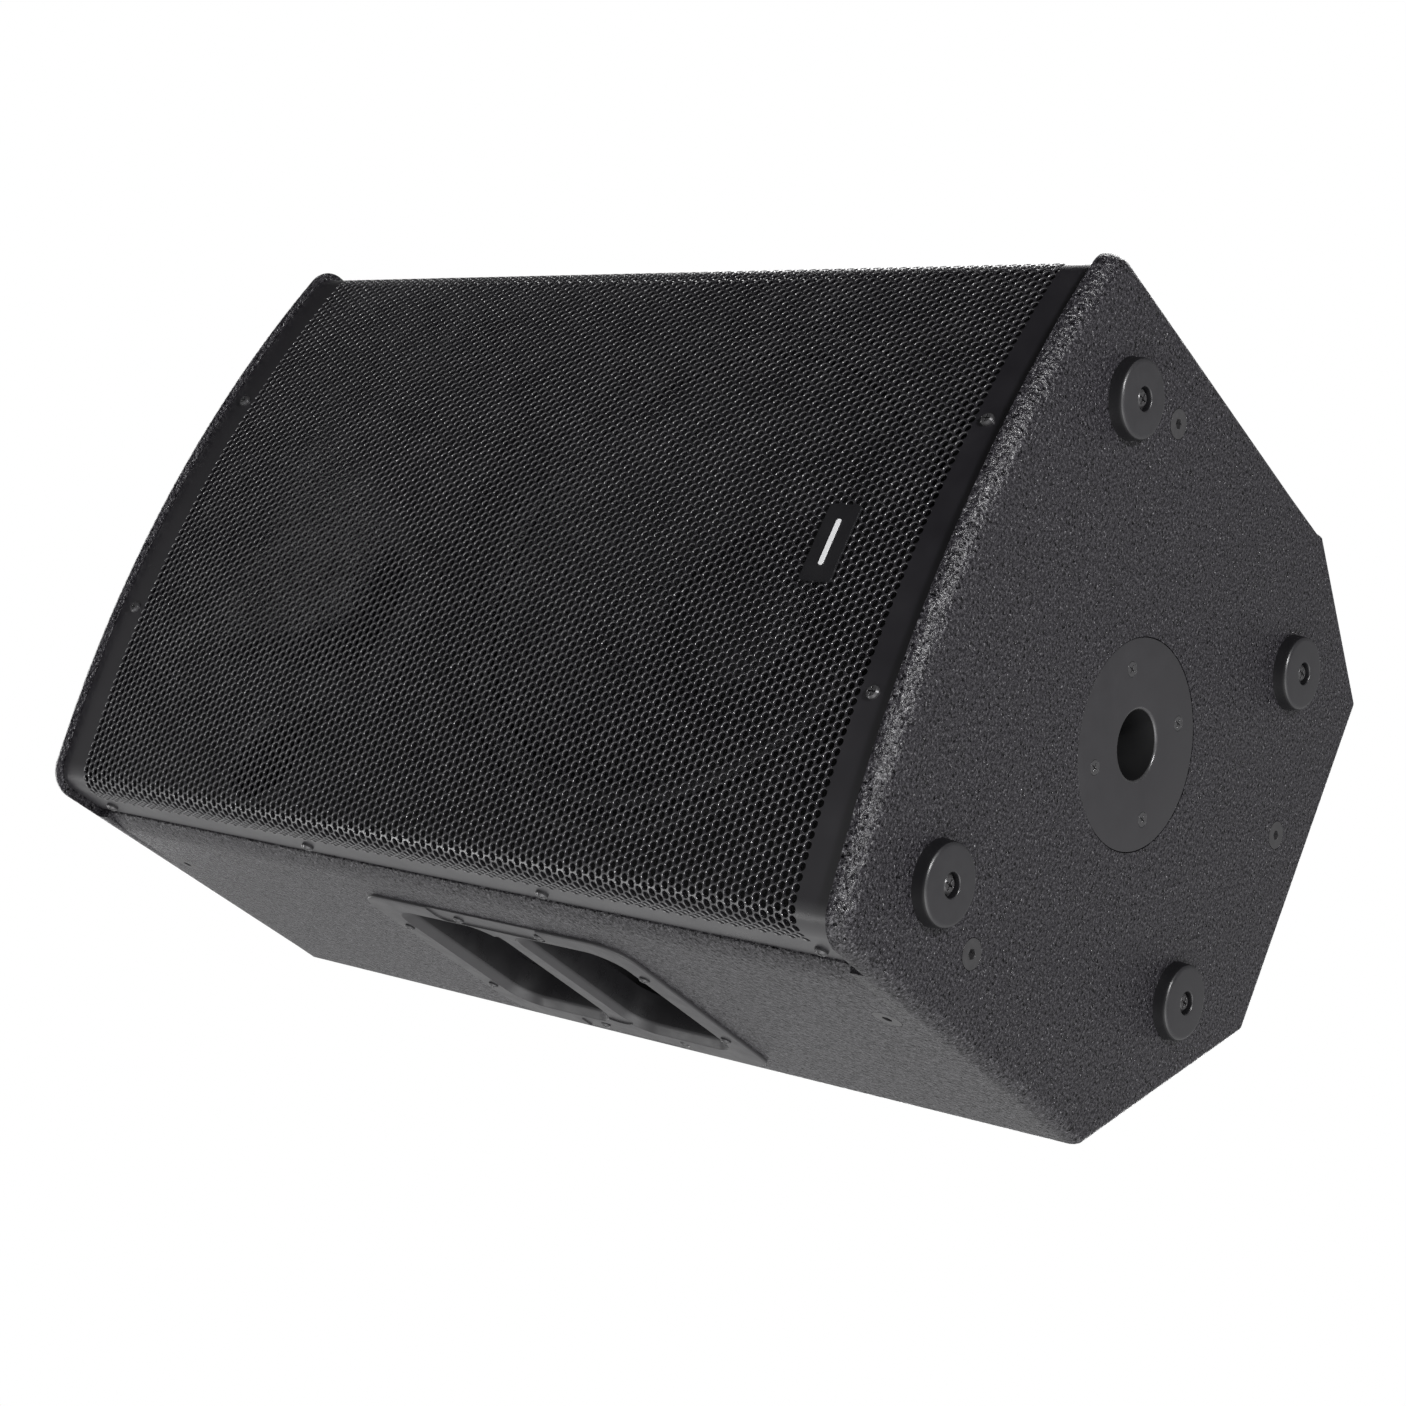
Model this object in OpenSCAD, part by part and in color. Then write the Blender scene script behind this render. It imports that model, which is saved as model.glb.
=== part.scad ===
// Two-way powered PA loudspeaker cabinet, 12-inch class, with an asymmetric
// trapezoid plan so that it also lies on its 45-degree face as a stage monitor.
// Millimetres. Origin: centre of the pole-socket mouth, on the outer face of
// the bottom panel. +X to the right seen from the grille, +Y to the back, +Z up.

/* [Cabinet] */
// Height from the outer face of the bottom panel to the outer face of the top panel
cab_h = 603; // [595:1:620]
// Width over the two side panels
cab_w = 380; // [376:1:384]
// Distance from the pole axis to the foremost point of the bowed front edge
nose_y = 190; // [188:1:194]
// Radius of the bowed front edge in plan
front_r = 821; // [780:1:900]
// Distance from the pole axis to the back face
back_y = 196; // [194:1:204]
// Thickness of the top and bottom panels
end_t = 18; // [18:1:20]
// Thickness of the side, wedge and back panels
wall_t = 15; // [14:0.5:15]
// Roundover radius on the outer edge of the top and bottom panels
edge_r = 10; // [4:1:12]
// Plan corner radius at the front of the top and bottom panels
corner_r = 20; // [18:1:22]

/* [Grille] */
// Setback of the grille face behind the edge of the end panels
grille_in = 5; // [3:0.5:5.5]
// Thickness of the grille sheet
grille_t = 1.5; // [1:0.1:1.6]
// Spacing from the centreline to each end screw of the grille
end_screw_x = 75; // [60:1:90]

/* [Handle] */
// Height of the handle's centre above the bottom face
handle_z = 292; // [289:1:295]
// Position of the handle's centre, front to back
handle_y = -10; // [-14:1:-6]
// Length of the handle plate, along the cabinet's height
handle_l = 203; // [200:1:206]
// Width of the handle plate, front to back
handle_w = 160; // [158:1:162]

/* [Stand socket] */
// Bore of the pole socket, for a 35 mm stand pole
pole_d = 36.5; // [35.5:0.1:38.4]
// Depth of the pole socket
pole_depth = 85; // [60:1:88]
// Diameter of the socket's flange
flange_d = 110; // [106:1:116]

/* [Feet] */
// Diameter of each rubber foot at its base
foot_d = 42; // [36:1:44]
// Height of each rubber foot
foot_h = 8; // [7:0.5:12]

/* [Drivers] */
// Height of the woofer's axis
woofer_z = 187; // [185:1:190]
// Height of the horn's axis
horn_z = 465; // [462:1:468]
// Depth of the woofer behind its rim
woofer_depth = 122; // [122:1:124]
// Overall width of the horn flange
horn_w = 220; // [210:1:222]
// Overall height of the horn flange
horn_h = 190; // [180:1:194]

/* [Amplifier] */
// Width of the amplifier plate
amp_w = 160; // [158:1:162]
// Height of the amplifier plate
amp_h = 330; // [320:1:334]
// Diameter of each control knob
knob_d = 17; // [13:1:19]

/* [Hidden] */

$fn = 48;

// Plan of the cabinet, as (x, y)
half_w = cab_w / 2;
bow_y = front_r - nose_y;             // centre of the front bow, on x = 0
front_y = -nose_y - 5;                // just in front of the bow
back_left_x = -74;                    // where the 45-degree face meets the back
back_right_x = 134.5;                 // where the 60-degree face meets the back
// corners, counterclockwise from above, starting at the front right
plan_corners = [
  [half_w, front_y], [half_w, back_y - 96],
  [back_right_x, back_y], [back_left_x, back_y],
  [-half_w, back_y - (half_w + back_left_x)], [-half_w, front_y]];
plan_radii = [0, 7, 3, 3, 8, 0];      // fillet of each plan corner
nose_x = half_w - corner_r;           // centre of the right front corner arc
nose_c = [nose_x, bow_y - sqrt(pow(front_r - corner_r, 2) - pow(nose_x, 2))];
nose_angle = asin(nose_x / (front_r - corner_r)); // half the sweep of the bow

floor_z = end_t;                      // inner face of the bottom panel
ceiling_z = cab_h - end_t;            // inner face of the top panel
inner_h = ceiling_z - floor_z;
baffle_y = -150;                      // front face of the baffle
baffle_t = 18;
baffle_back = baffle_y + baffle_t;
rail_h = 9.5;                         // height of each grille rail

// Fixings
clearance = 0.05;
pilot_d = 3.1;                        // bore for the 3 mm screws
wood_bore = 4.2;                      // bore for the pole-socket and foot screws
rig_y = -68;
rig_xy = [[-150, rig_y], [150, rig_y], [30, 160]];
rig_z = [32, cab_h - 32];
side_screw_y = -136;
side_screw_z = [30, 210, 392, cab_h - 31];
end_screw_z = [floor_z + 4.5, ceiling_z - 4.5];

// ---------- lists of points ----------
function reversed(list) = [for (i = [len(list) - 1:-1:0]) list[i]];
// four points at +-x, +-y around a centre
function corners(x, y, centre = [0, 0]) =
  [for (side_x = [-1, 1], side_y = [-1, 1]) centre + [side_x * x, side_y * y]];
// evenly spaced points on a circle
function ring(count, radius, first_angle, centre) =
  [for (k = [0:count - 1]) let (angle = first_angle + 360 * k / count)
    centre + radius * [cos(angle), sin(angle)]];
// half profile of a dome from its apex; side -1 turns the apex to lower values
function dome(radius, sweep, centre, count, side = 1) =
  [for (k = [0:count]) let (angle = sweep * k / count)
    [radius * sin(angle), centre + side * radius * cos(angle)]];

feet = [[-134.5, -113], [134.5, -113], [-91, 117], [110, 117]];
pole_screws = corners(28.3, 28.3);
// handle screws as (y, z)
handle_edge_screws = corners(71, 31, [handle_y, handle_z - 7]);
handle_end_screws = corners(40, 91, [handle_y, handle_z]);
// screws in the faces that look front or back, as (x, z)
woofer_xz = [0, woofer_z];
horn_xz = [0, horn_z];
woofer_screw_xz = ring(8, 148.8, 22.5, woofer_xz);
horn_screw_xz = concat(corners(101, 86, horn_xz), [[0, horn_z - 88], [0, horn_z + 88]]);
hf_bolt_xz = ring(4, 38, 45, horn_xz);

// ports and amplifier
port_r = 27.5;                        // outside radius of each port tube
port_x = 143;
port_z = 440;
amp_x = 29;
amp_z = 330;
amp_xz = [amp_x, amp_z];
amp_t = 3;
amp_in = back_y - wall_t;             // y of the plate's inner face
amp_out = amp_in + amp_t;             // y of the plate's outer face
amp_screw_xz = [for (side = [-1, 1], k = [-2:2])
  amp_xz + [side * (amp_w / 2 - 5), k * (amp_h / 2 - 6) / 2]];

// ---------- plan geometry ----------
function wrap(list, i) = list[(i + len(list)) % len(list)];
// unit normal of the edge from start to end, pointing into the plan
function normal(start, end) =
  let (along = (end - start) / norm(end - start)) [-along[1], along[0]];
function normal_in(points, i) = normal(wrap(points, i - 1), points[i]);
function normal_out(points, i) = normal(points[i], wrap(points, i + 1));
// corner i moved inwards by margin from both of its edges
function inset_corner(points, i, margin) =
  let (n1 = normal_in(points, i), n2 = normal_out(points, i))
  points[i] + margin * (n1 + n2) / (1 + n1 * n2);
function inset(points, margin) =
  [for (i = [0:len(points) - 1]) inset_corner(points, i, margin)];
// points along a fillet in corner i
function fillet(points, i, radius, steps = 5) = radius <= 0 ? [points[i]] :
  let (centre = inset_corner(points, i, radius),
       n1 = normal_in(points, i), n2 = normal_out(points, i),
       start = atan2(-n1[1], -n1[0]), sweep = acos(min(1, n1 * n2)))
  [for (k = [0:steps]) let (angle = start + sweep * k / steps)
    centre + radius * [cos(angle), sin(angle)]];

function bow(margin, steps = 20) =
  [for (k = [0:steps]) let (angle = nose_angle * (2 * k / steps - 1))
    [(front_r - margin) * sin(angle), bow_y - (front_r - margin) * cos(angle)]];
// front corner arc, from the bow to the side
function nose_corner(side, margin, steps = 5) =
  [for (k = [0:steps]) let (angle = nose_angle + (90 - nose_angle) * k / steps)
    [side * (nose_c[0] + (corner_r - margin) * sin(angle)),
     nose_c[1] - (corner_r - margin) * cos(angle)]];
// plan outline as one list of points, for the hulls of the end panels
function outline(margin) = let (inner = inset(plan_corners, margin)) concat(
  bow(margin),
  nose_corner(1, margin),
  [for (i = [1:4]) each fillet(inner, i, max(0.3, plan_radii[i] - margin))],
  reversed(nose_corner(-1, margin)));

// front part of the plan: bowed edge with rounded corners, inset by margin
module front_plan(margin, y_end) {
  bow_x = nose_c[0] * (front_r - margin) / (front_r - corner_r);
  intersection() {
    translate([0, bow_y]) circle(r = front_r - margin, $fn = 360);
    translate([-bow_x, front_y - 10]) square([2 * bow_x, y_end - front_y + 10]);
  }
  for (side = [-1, 1])
    intersection() {
      translate([side * nose_c[0], nose_c[1]]) circle(r = corner_r - margin, $fn = 64);
      translate([side > 0 ? nose_c[0] - 1 : -half_w, front_y])
        square([half_w - nose_c[0] + 1, y_end - front_y]);
    }
  translate([margin - half_w, nose_c[1]])
    square([2 * (half_w - margin), y_end - nose_c[1]]);
}

// whole plan, inset by margin
module whole_plan(margin) {
  inner = inset(plan_corners, margin);
  difference() {
    polygon([for (i = [0:len(inner) - 1])
      each fillet(inner, i, max(0, plan_radii[i] - margin))]);
    translate([-half_w - 20, front_y - 20]) square([cab_w + 40, nose_c[1] - front_y + 20]);
  }
  front_plan(margin, nose_c[1] + 1);
}

// ---------- placing ----------
// local Z points to the front, at (x, z) and y
module facing_front(xz, y) { translate([xz[0], y, xz[1]]) rotate([90, 0, 0]) children(); }
// local Z points to the back
module facing_back(xz, y) { translate([xz[0], y, xz[1]]) rotate([-90, 0, 0]) children(); }
// local Z points away from the cabinet's middle plane, side -1 left, 1 right
module facing_side(side, x, y, z) {
  translate([side * x, y, z]) rotate([0, side * 90, 0]) children();
}
// shapes drawn as (x, z) and run from y towards the front by depth
module on_y(y, depth) { facing_front([0, 0], y) linear_extrude(depth) children(); }
// shapes drawn as (-z, y) and run from x towards +X by depth
module on_x(x, depth) { translate([x, 0, 0]) rotate([0, 90, 0]) linear_extrude(depth) children(); }
// profile turned about a front-to-back axis; its points are [radius, -y]
module turn_y(xz, fn = 96) { facing_front(xz, 0) rotate_extrude($fn = fn) children(); }
// round bars or bores at points (x, z), run from y towards the front
module bores(points, y, depth, d, fn = 24) {
  for (p = points) on_y(y, depth) translate(p) circle(d = d, $fn = fn);
}
module rounded_rect(w, h, r) {
  square([w - 2 * r, h], center = true);
  square([w, h - 2 * r], center = true);
  for (p = corners(w / 2 - r, h / 2 - r)) translate(p) circle(r = r, $fn = 32);
}

// ---------- screws, along -Z ----------
// cross-head pan screw: underside of the head at z = 0
module pan_screw(d, length, head_d, head_h) {
  difference() {
    union() {
      cylinder(d = head_d, h = head_h * 0.55, $fn = 32);
      translate([0, 0, head_h * 0.55])
        cylinder(d1 = head_d, d2 = head_d * 0.72, h = head_h * 0.45, $fn = 32);
      translate([0, 0, -length]) cylinder(d = d, h = length + 0.01, $fn = 24);
    }
    for (angle = [0, 90]) rotate([0, 0, angle])
      translate([-head_d * 0.32, -head_d * 0.06, head_h * 0.4])
        cube([head_d * 0.64, head_d * 0.12, head_h]);
  }
}
// cross-head countersunk screw: top of the head at z = 0
module csk_screw(d, length, head_d) {
  difference() {
    union() {
      translate([0, 0, -head_d * 0.3]) cylinder(d1 = d, d2 = head_d, h = head_d * 0.3, $fn = 32);
      translate([0, 0, -length]) cylinder(d = d, h = length - head_d * 0.2, $fn = 24);
    }
    for (angle = [0, 90]) rotate([0, 0, angle])
      translate([-head_d * 0.3, -head_d * 0.05, -head_d * 0.16])
        cube([head_d * 0.6, head_d * 0.1, head_d]);
  }
}
module csk_hole(d, length, head_d) {
  translate([0, 0, -head_d * 0.3])
    cylinder(d1 = d + 2 * clearance, d2 = head_d + 2 * clearance,
      h = head_d * 0.3 + clearance, $fn = 32);
  translate([0, 0, -length - clearance]) cylinder(d = d + 2 * clearance, h = length, $fn = 24);
}

// ---------- rigging, along -Z from the panel's outer face ----------
module rig_bolt() {
  difference() {
    union() {
      translate([0, 0, -3]) cylinder(d1 = 9, d2 = 15.6, h = 3, $fn = 32);
      translate([0, 0, -end_t]) cylinder(d = 8, h = end_t - 2.5, $fn = 24);
    }
    // hexagon socket
    translate([0, 0, -4]) cylinder(d = 5.77, h = 5, $fn = 6);
  }
}
module rig_hole(panel_t) {
  translate([0, 0, -3]) cylinder(d1 = 9.2, d2 = 15.8, h = 3.01, $fn = 32);
  translate([0, 0, -panel_t - 1]) cylinder(d = 11.2, h = panel_t, $fn = 24);
}
// barrel nut through the panel, its flange on the inner face
module rig_nut(panel_t) {
  difference() {
    union() {
      translate([0, 0, -panel_t]) cylinder(d = 11, h = panel_t - 4.2, $fn = 24);
      translate([0, 0, -panel_t - 2]) cylinder(d = 22, h = 2, $fn = 32);
    }
    translate([0, 0, -panel_t - 3]) cylinder(d = 8.2, h = panel_t + 3, $fn = 24);
  }
}
module at_rig_bottom() { for (p = rig_xy) translate(p) rotate([180, 0, 0]) children(); }
module at_rig_top() { for (p = rig_xy) translate([each p, cab_h]) children(); }
module at_rig_side(side) { for (z = rig_z) facing_side(side, half_w, rig_y, z) children(); }

module rigging_bolts() {
  color([0.3, 0.3, 0.31]) {
    at_rig_bottom() rig_bolt();
    at_rig_top() rig_bolt();
    for (side = [-1, 1]) at_rig_side(side) rig_bolt();
  }
}
module rigging_nuts() {
  color([0.6, 0.6, 0.6]) {
    at_rig_bottom() rig_nut(end_t);
    at_rig_top() rig_nut(end_t);
    for (side = [-1, 1]) at_rig_side(side) rig_nut(wall_t);
  }
}

// ---------- cabinet panels ----------
// bottom panel blank; its outer edge is rounded over in 30-degree steps
module end_slab() {
  hull() {
    for (k = [0:3])
      let (angle = 30 * k, margin = edge_r * (1 - sin(angle)), z = edge_r * (1 - cos(angle)))
        translate([0, 0, z]) linear_extrude(k == 3 ? end_t - z : 0.01) polygon(outline(margin));
  }
}
module bottom_panel() {
  color([0.13, 0.13, 0.14]) difference() {
    end_slab();
    translate([0, 0, -1]) cylinder(d = flange_d + 0.6, h = 4, $fn = 96);
    translate([0, 0, -1]) cylinder(d = 44, h = end_t + 2, $fn = 64);
    for (p = pole_screws) translate(p) cylinder(d = wood_bore, h = end_t + 1, $fn = 24);
    for (p = feet) translate([each p, -1]) cylinder(d = wood_bore, h = 17, $fn = 24);
    at_rig_bottom() rig_hole(end_t);
  }
}
module top_panel() {
  color([0.13, 0.13, 0.14]) difference() {
    translate([0, 0, cab_h]) mirror([0, 0, 1]) end_slab();
    at_rig_top() rig_hole(end_t);
  }
}
// upright panel on the plan edge from corner i to corner i + 1
module wall(i) {
  inner = inset(plan_corners, wall_t);
  translate([0, 0, floor_z]) linear_extrude(inner_h) intersection() {
    polygon([plan_corners[i], plan_corners[i + 1], inner[i + 1], inner[i]]);
    whole_plan(0);
  }
}
module side_wall(side) {
  rebate_end = -124;
  rebate_d = grille_in + grille_t;
  difference() {
    wall(side > 0 ? 0 : 4);
    translate([-half_w - 1, front_y - 1, floor_z - 1])
      cube([cab_w + 2, baffle_y - front_y + 1, cab_h]);
    // rebate for the grille's side flange
    translate([side > 0 ? half_w - rebate_d : -half_w - 2, baffle_y - 1, floor_z - 1])
      cube([rebate_d + 2, rebate_end - baffle_y + 1, cab_h]);
    for (z = side_screw_z)
      facing_side(side, half_w - wall_t - 1, side_screw_y, z)
        cylinder(d = pilot_d, h = wall_t, $fn = 24);
    at_rig_side(side) rig_hole(wall_t);
  }
}
// bores for the handle's screws, run from x towards +X
module handle_bores(x, depth) {
  for (yz = concat(handle_edge_screws, handle_end_screws))
    translate([x, each yz]) rotate([0, 90, 0]) cylinder(d = pilot_d, h = depth, $fn = 24);
}
module side_panel_handle() {
  color([0.15, 0.15, 0.16]) difference() {
    side_wall(-1);
    on_x(-half_w - 1, wall_t + 2) translate([-handle_z, handle_y])
      rounded_rect(handle_l - 24, handle_w - 24, 14);
    handle_bores(-half_w - 1, 15);
  }
}
module side_panel_plain() { color([0.15, 0.15, 0.16]) side_wall(1); }
module wedge_panel_45() { color([0.14, 0.14, 0.15]) wall(3); }
module wedge_panel_60() { color([0.14, 0.14, 0.15]) wall(1); }
module back_panel() {
  color([0.14, 0.14, 0.15]) difference() {
    wall(2);
    on_y(back_y + 1, wall_t + 2) translate(amp_xz) rounded_rect(amp_w + 1, amp_h + 1, 5.5);
  }
}
module front_baffle() {
  color([0.36, 0.27, 0.18]) difference() {
    translate([-half_w + wall_t, baffle_y, floor_z])
      cube([cab_w - 2 * wall_t, baffle_t, inner_h]);
    on_y(baffle_back + 1, baffle_t + 2) {
      translate(woofer_xz) circle(r = 142, $fn = 96);
      translate(horn_xz) rounded_rect(horn_w - 24, horn_h - 26, 8);
      for (side = [-1, 1]) translate([side * port_x, port_z]) circle(r = port_r + 0.1, $fn = 64);
    }
    bores(woofer_screw_xz, baffle_back - 2, baffle_t, d = 5.1);
    bores(horn_screw_xz, baffle_back - 2, baffle_t, d = 4.1);
  }
}
// open ring behind the baffle, notched at the front around the woofer
module brace_shelf() {
  shelf_z = 106;
  shelf_t = 14;
  notch_w = 284;
  notch_y = -92;
  color([0.74, 0.6, 0.4]) translate([0, 0, shelf_z]) linear_extrude(shelf_t) difference() {
    whole_plan(wall_t);
    polygon(inset(plan_corners, 50));
    translate([-half_w, front_y]) square([cab_w, baffle_back - front_y]);
    translate([-notch_w / 2, front_y]) square([notch_w, notch_y - front_y]);
  }
}
// strips in front of the baffle, along the top and bottom panels
module grille_rails() {
  rail_w = 320;
  color([0.2, 0.17, 0.14]) difference() {
    for (z = [floor_z, ceiling_z - rail_h])
      translate([0, 0, z]) linear_extrude(rail_h) intersection() {
        front_plan(grille_in + grille_t + 0.2, baffle_y);
        translate([-rail_w / 2, front_y]) square([rail_w, baffle_y - front_y]);
      }
    at_end_screws() translate([0, 0, -17]) cylinder(d = pilot_d, h = 20, $fn = 24);
  }
}
// frame inside the back panel that the amplifier plate screws to
module amp_ledge_frame() {
  color([0.74, 0.6, 0.4]) difference() {
    on_y(amp_in, 15) translate(amp_xz) difference() {
      rounded_rect(amp_w + 28, amp_h + 28, 4);
      rounded_rect(amp_w - 20, amp_h - 20, 4);
    }
    bores(amp_screw_xz, amp_in + 1, 14, d = pilot_d);
  }
}
// one pad on the right side panel and one under the top panel
module wadding() {
  pad_t = 20;
  color([0.8, 0.8, 0.78]) {
    translate([half_w - wall_t - pad_t, -58, 135]) cube([pad_t - 0.1, 128, 420]);
    translate([-120, -95, ceiling_z - pad_t]) cube([240, 180, pad_t - 0.1]);
  }
}

// ---------- grille ----------
flange_end = -129;                    // rear edge of the grille's side flanges
grille_face_r = front_r - grille_in;

module at_end_screws() {
  for (side = [-1, 1], z = end_screw_z)
    translate([0, bow_y, z]) rotate([0, 0, side * asin(end_screw_x / front_r)])
      translate([0, -grille_face_r, 0]) rotate([90, 0, 0]) children();
}
module at_side_screws() {
  for (side = [-1, 1], z = side_screw_z)
    facing_side(side, half_w - grille_in, side_screw_y, z) children();
}
module grille_bore() { translate([0, 0, -5]) cylinder(d = 3.4, h = 10, $fn = 24); }
module grille() {
  color([0.1, 0.1, 0.11]) difference() {
    translate([0, 0, floor_z + 0.3]) linear_extrude(inner_h - 0.6) difference() {
      front_plan(grille_in, flange_end);
      front_plan(grille_in + grille_t, flange_end + 1);
    }
    at_end_screws() grille_bore();
    at_side_screws() grille_bore();
  }
}
// curved plate lying on the grille's bow
module grille_badge() {
  badge_z = 80;
  badge_w = 43;
  badge_h = 19;
  color([0.12, 0.12, 0.13]) translate([0, 0, badge_z]) difference() {
    intersection() {
      translate([0, bow_y, -badge_h / 2])
        cylinder(r = grille_face_r + 1.4, h = badge_h, $fn = 360);
      on_y(-150, 60) rounded_rect(badge_w, badge_h, 1.5);
    }
    translate([0, bow_y, -15]) cylinder(r = grille_face_r + 0.02, h = 30, $fn = 360);
  }
}
module grille_screws() {
  color([0.25, 0.25, 0.26]) {
    at_end_screws() pan_screw(d = 3, length = 15, head_d = 7, head_h = 2.2);
    at_side_screws() pan_screw(d = 3, length = 10, head_d = 7, head_h = 2.2);
  }
}

// ---------- handle, on the left side panel ----------
handle_plate_t = 2;
edge_recess = 1;                      // depth of the recess along each long edge
module side_handle() {
  color([0.22, 0.22, 0.23]) difference() {
    union() {
      on_x(-half_w - handle_plate_t, handle_plate_t) translate([-handle_z, handle_y])
        rounded_rect(handle_l, handle_w, corner_r);
      on_x(-half_w - 1, 47) translate([-handle_z, handle_y])
        rounded_rect(handle_l - 25, handle_w - 25, 13);
    }
    difference() {
      on_x(-half_w - 3, 46) translate([-handle_z, handle_y])
        rounded_rect(handle_l - 40, handle_w - 38, 12);
      // grip bar across the mouth
      translate([-half_w - 1, handle_y - handle_w / 2, handle_z - 9]) cube([20, handle_w, 18]);
    }
    on_x(-half_w - 3, 3 - handle_plate_t + edge_recess) translate([-handle_z, handle_y])
      for (side = [-1, 1]) translate([0, side * handle_w / 2]) square([84, 25], center = true);
    handle_bores(-half_w - 3, 10);
  }
}
module screws_in_handle(points, x) {
  for (yz = points)
    facing_side(-1, x, yz[0], yz[1]) pan_screw(d = 3, length = 13, head_d = 6.2, head_h = 1.6);
}
module handle_screws() {
  color([0.25, 0.25, 0.26]) {
    screws_in_handle(handle_edge_screws, half_w + handle_plate_t - edge_recess);
    screws_in_handle(handle_end_screws, half_w + handle_plate_t);
  }
}

// ---------- pole socket ----------
module pole_socket() {
  color([0.2, 0.2, 0.21]) difference() {
    union() {
      cylinder(d = flange_d, h = 3, $fn = 128);
      cylinder(d = 43, h = pole_depth + 4, $fn = 64);
    }
    translate([0, 0, -1]) cylinder(d = pole_d, h = pole_depth + 1, $fn = 64);
    for (p = pole_screws) translate(p) rotate([180, 0, 0])
      csk_hole(d = 4, length = 20, head_d = 8);
  }
}
module pole_socket_screws() {
  color([0.25, 0.25, 0.26]) for (p = pole_screws)
    translate([each p, 0.1]) rotate([180, 0, 0]) csk_screw(d = 4, length = 17, head_d = 7.8);
}

// ---------- feet ----------
foot_seat = foot_h - 4;               // depth of the screw head's seat below the panel
module foot(i) {
  base_r = foot_d / 2;
  rim = [base_r - 3.6, foot_h - 3];   // centre of the rounded lower edge
  color([0.16, 0.16, 0.17]) translate(feet[i]) rotate([180, 0, 0])
    rotate_extrude($fn = 64) difference() {
      union() {
        polygon([[2.2, 0], [base_r, 0], [base_r - 0.5, foot_h - 3],
          [base_r - 3.5, foot_h], [2.2, foot_h]]);
        intersection() {
          translate(rim) circle(r = 3, $fn = 32);
          translate(rim) square(4);
        }
      }
      translate([0, foot_seat]) square([6, 5]);
    }
}
module foot_front_left() { foot(0); }
module foot_front_right() { foot(1); }
module foot_rear_left() { foot(2); }
module foot_rear_right() { foot(3); }
module foot_screws() {
  color([0.3, 0.3, 0.31]) for (p = feet)
    translate([each p, -foot_seat]) rotate([180, 0, 0])
      pan_screw(d = 4, length = 17, head_d = 9.5, head_h = 2.6);
}

// ---------- woofer ----------
rim_f = -baffle_y;                    // rear face of the rim, on the baffle, as -y
yoke_f = rim_f - woofer_depth;        // rear face of the yoke, as -y
rim_r = 155;

// turned part; points are [radius, distance in front of base], base is a -y
module woofer_part(points, base = yoke_f) {
  turn_y(woofer_xz) polygon([for (p = points) p + [0, base]]);
}
module woofer_basket() {
  depth = woofer_depth;
  color([0.14, 0.14, 0.15]) difference() {
    woofer_part([[rim_r, depth], [rim_r, depth + 5], [138.5, depth + 5], [138.5, depth - 10.5],
      [74, 41.5], [40, 41.5], [40, 38], [80, 38], [80, 44], [141.5, depth - 10], [141.5, depth]]);
    // six windows between the spokes
    window_l = 30 + yoke_f / 10;
    for (k = [0:5]) translate([0, 0, woofer_z]) rotate([0, 60 * k, 0])
      translate([0, -rim_f + 11.5, 0]) linear_extrude(200)
        polygon([[-24, window_l], [24, window_l], [48, 2], [-48, 2]]);
    bores(woofer_screw_xz, baffle_y + 1, 8, d = 5.5);
  }
}
module woofer_gasket() {
  color([0.12, 0.12, 0.12]) difference() {
    woofer_part([[146.4, 5.02], [rim_r, 5.02], [rim_r - 1, 7.4], [147.2, 7.4]], base = rim_f);
    bores(woofer_screw_xz, baffle_y - 4, 8, d = 10);
  }
}
module woofer_top_plate() {
  color([0.6, 0.6, 0.62]) woofer_part([[33.4, 30], [70, 30], [70, 37.95], [33.4, 37.95]]);
}
module woofer_magnet() {
  color([0.18, 0.18, 0.19])
    woofer_part([[42, 10.05], [84, 10.05], [85, 11], [85, 29], [84, 29.95], [42, 29.95]]);
}
module woofer_pole_yoke() {
  color([0.6, 0.6, 0.62]) woofer_part([[10, 0], [76, 0], [80, 3], [80, 10], [30.6, 10],
    [30.6, 37], [28.6, 39], [14, 39], [10, 33]]);
}
// pleated disc: flat at both edges, pleats between
function spider_face(base) = [for (k = [0:28])
  [32.4 + k * 1.82, base + (k < 2 || k > 26 ? 0 : 2.2 * sin(k * 90))]];
module woofer_spider() {
  color([0.75, 0.6, 0.3]) woofer_part(concat(spider_face(52), reversed(spider_face(52.8))));
}
function roll(half_width, base) = [for (k = [0:12]) let (angle = 15 * k)
  [136 + half_width * cos(angle), base + 6.2 * sin(angle)]];
module woofer_surround() {
  color([0.12, 0.12, 0.13]) woofer_part(concat(
    [[144.2, 5.02], [144.2, 6.2]],
    roll(7, 6.2),
    [[129.3, 6.2], [129.3, 5.02]],
    reversed(roll(5.8, 5.02))), base = rim_f);
}
// one face of the flared cone
function cone_face(radius, spread, base) = [for (k = [0:10]) let (part = k / 10)
  [radius + spread * part, base + (woofer_depth - 71.5) * pow(part, 1.25)]];
module woofer_cone() {
  color([0.13, 0.13, 0.14]) woofer_part(concat(
    [[31.75, 72], [34, 72]],
    cone_face(34, 94.6, 76),
    reversed(cone_face(33, 94, 77.8)),
    [[31.75, 77.8]]));
}
module woofer_dust_cap() {
  color([0.1, 0.1, 0.11]) woofer_part(concat(
    dome(78, sweep = 38, centre = 21.78, count = 10),
    reversed(dome(76.6, sweep = 37.6, centre = 21.78, count = 10))));
}
module woofer_voice_coil() {
  color([0.72, 0.45, 0.25])
    woofer_part([[31.2, 26], [32.5, 26], [32.5, 42], [31.7, 42], [31.7, 78], [31.2, 78]]);
}
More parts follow.
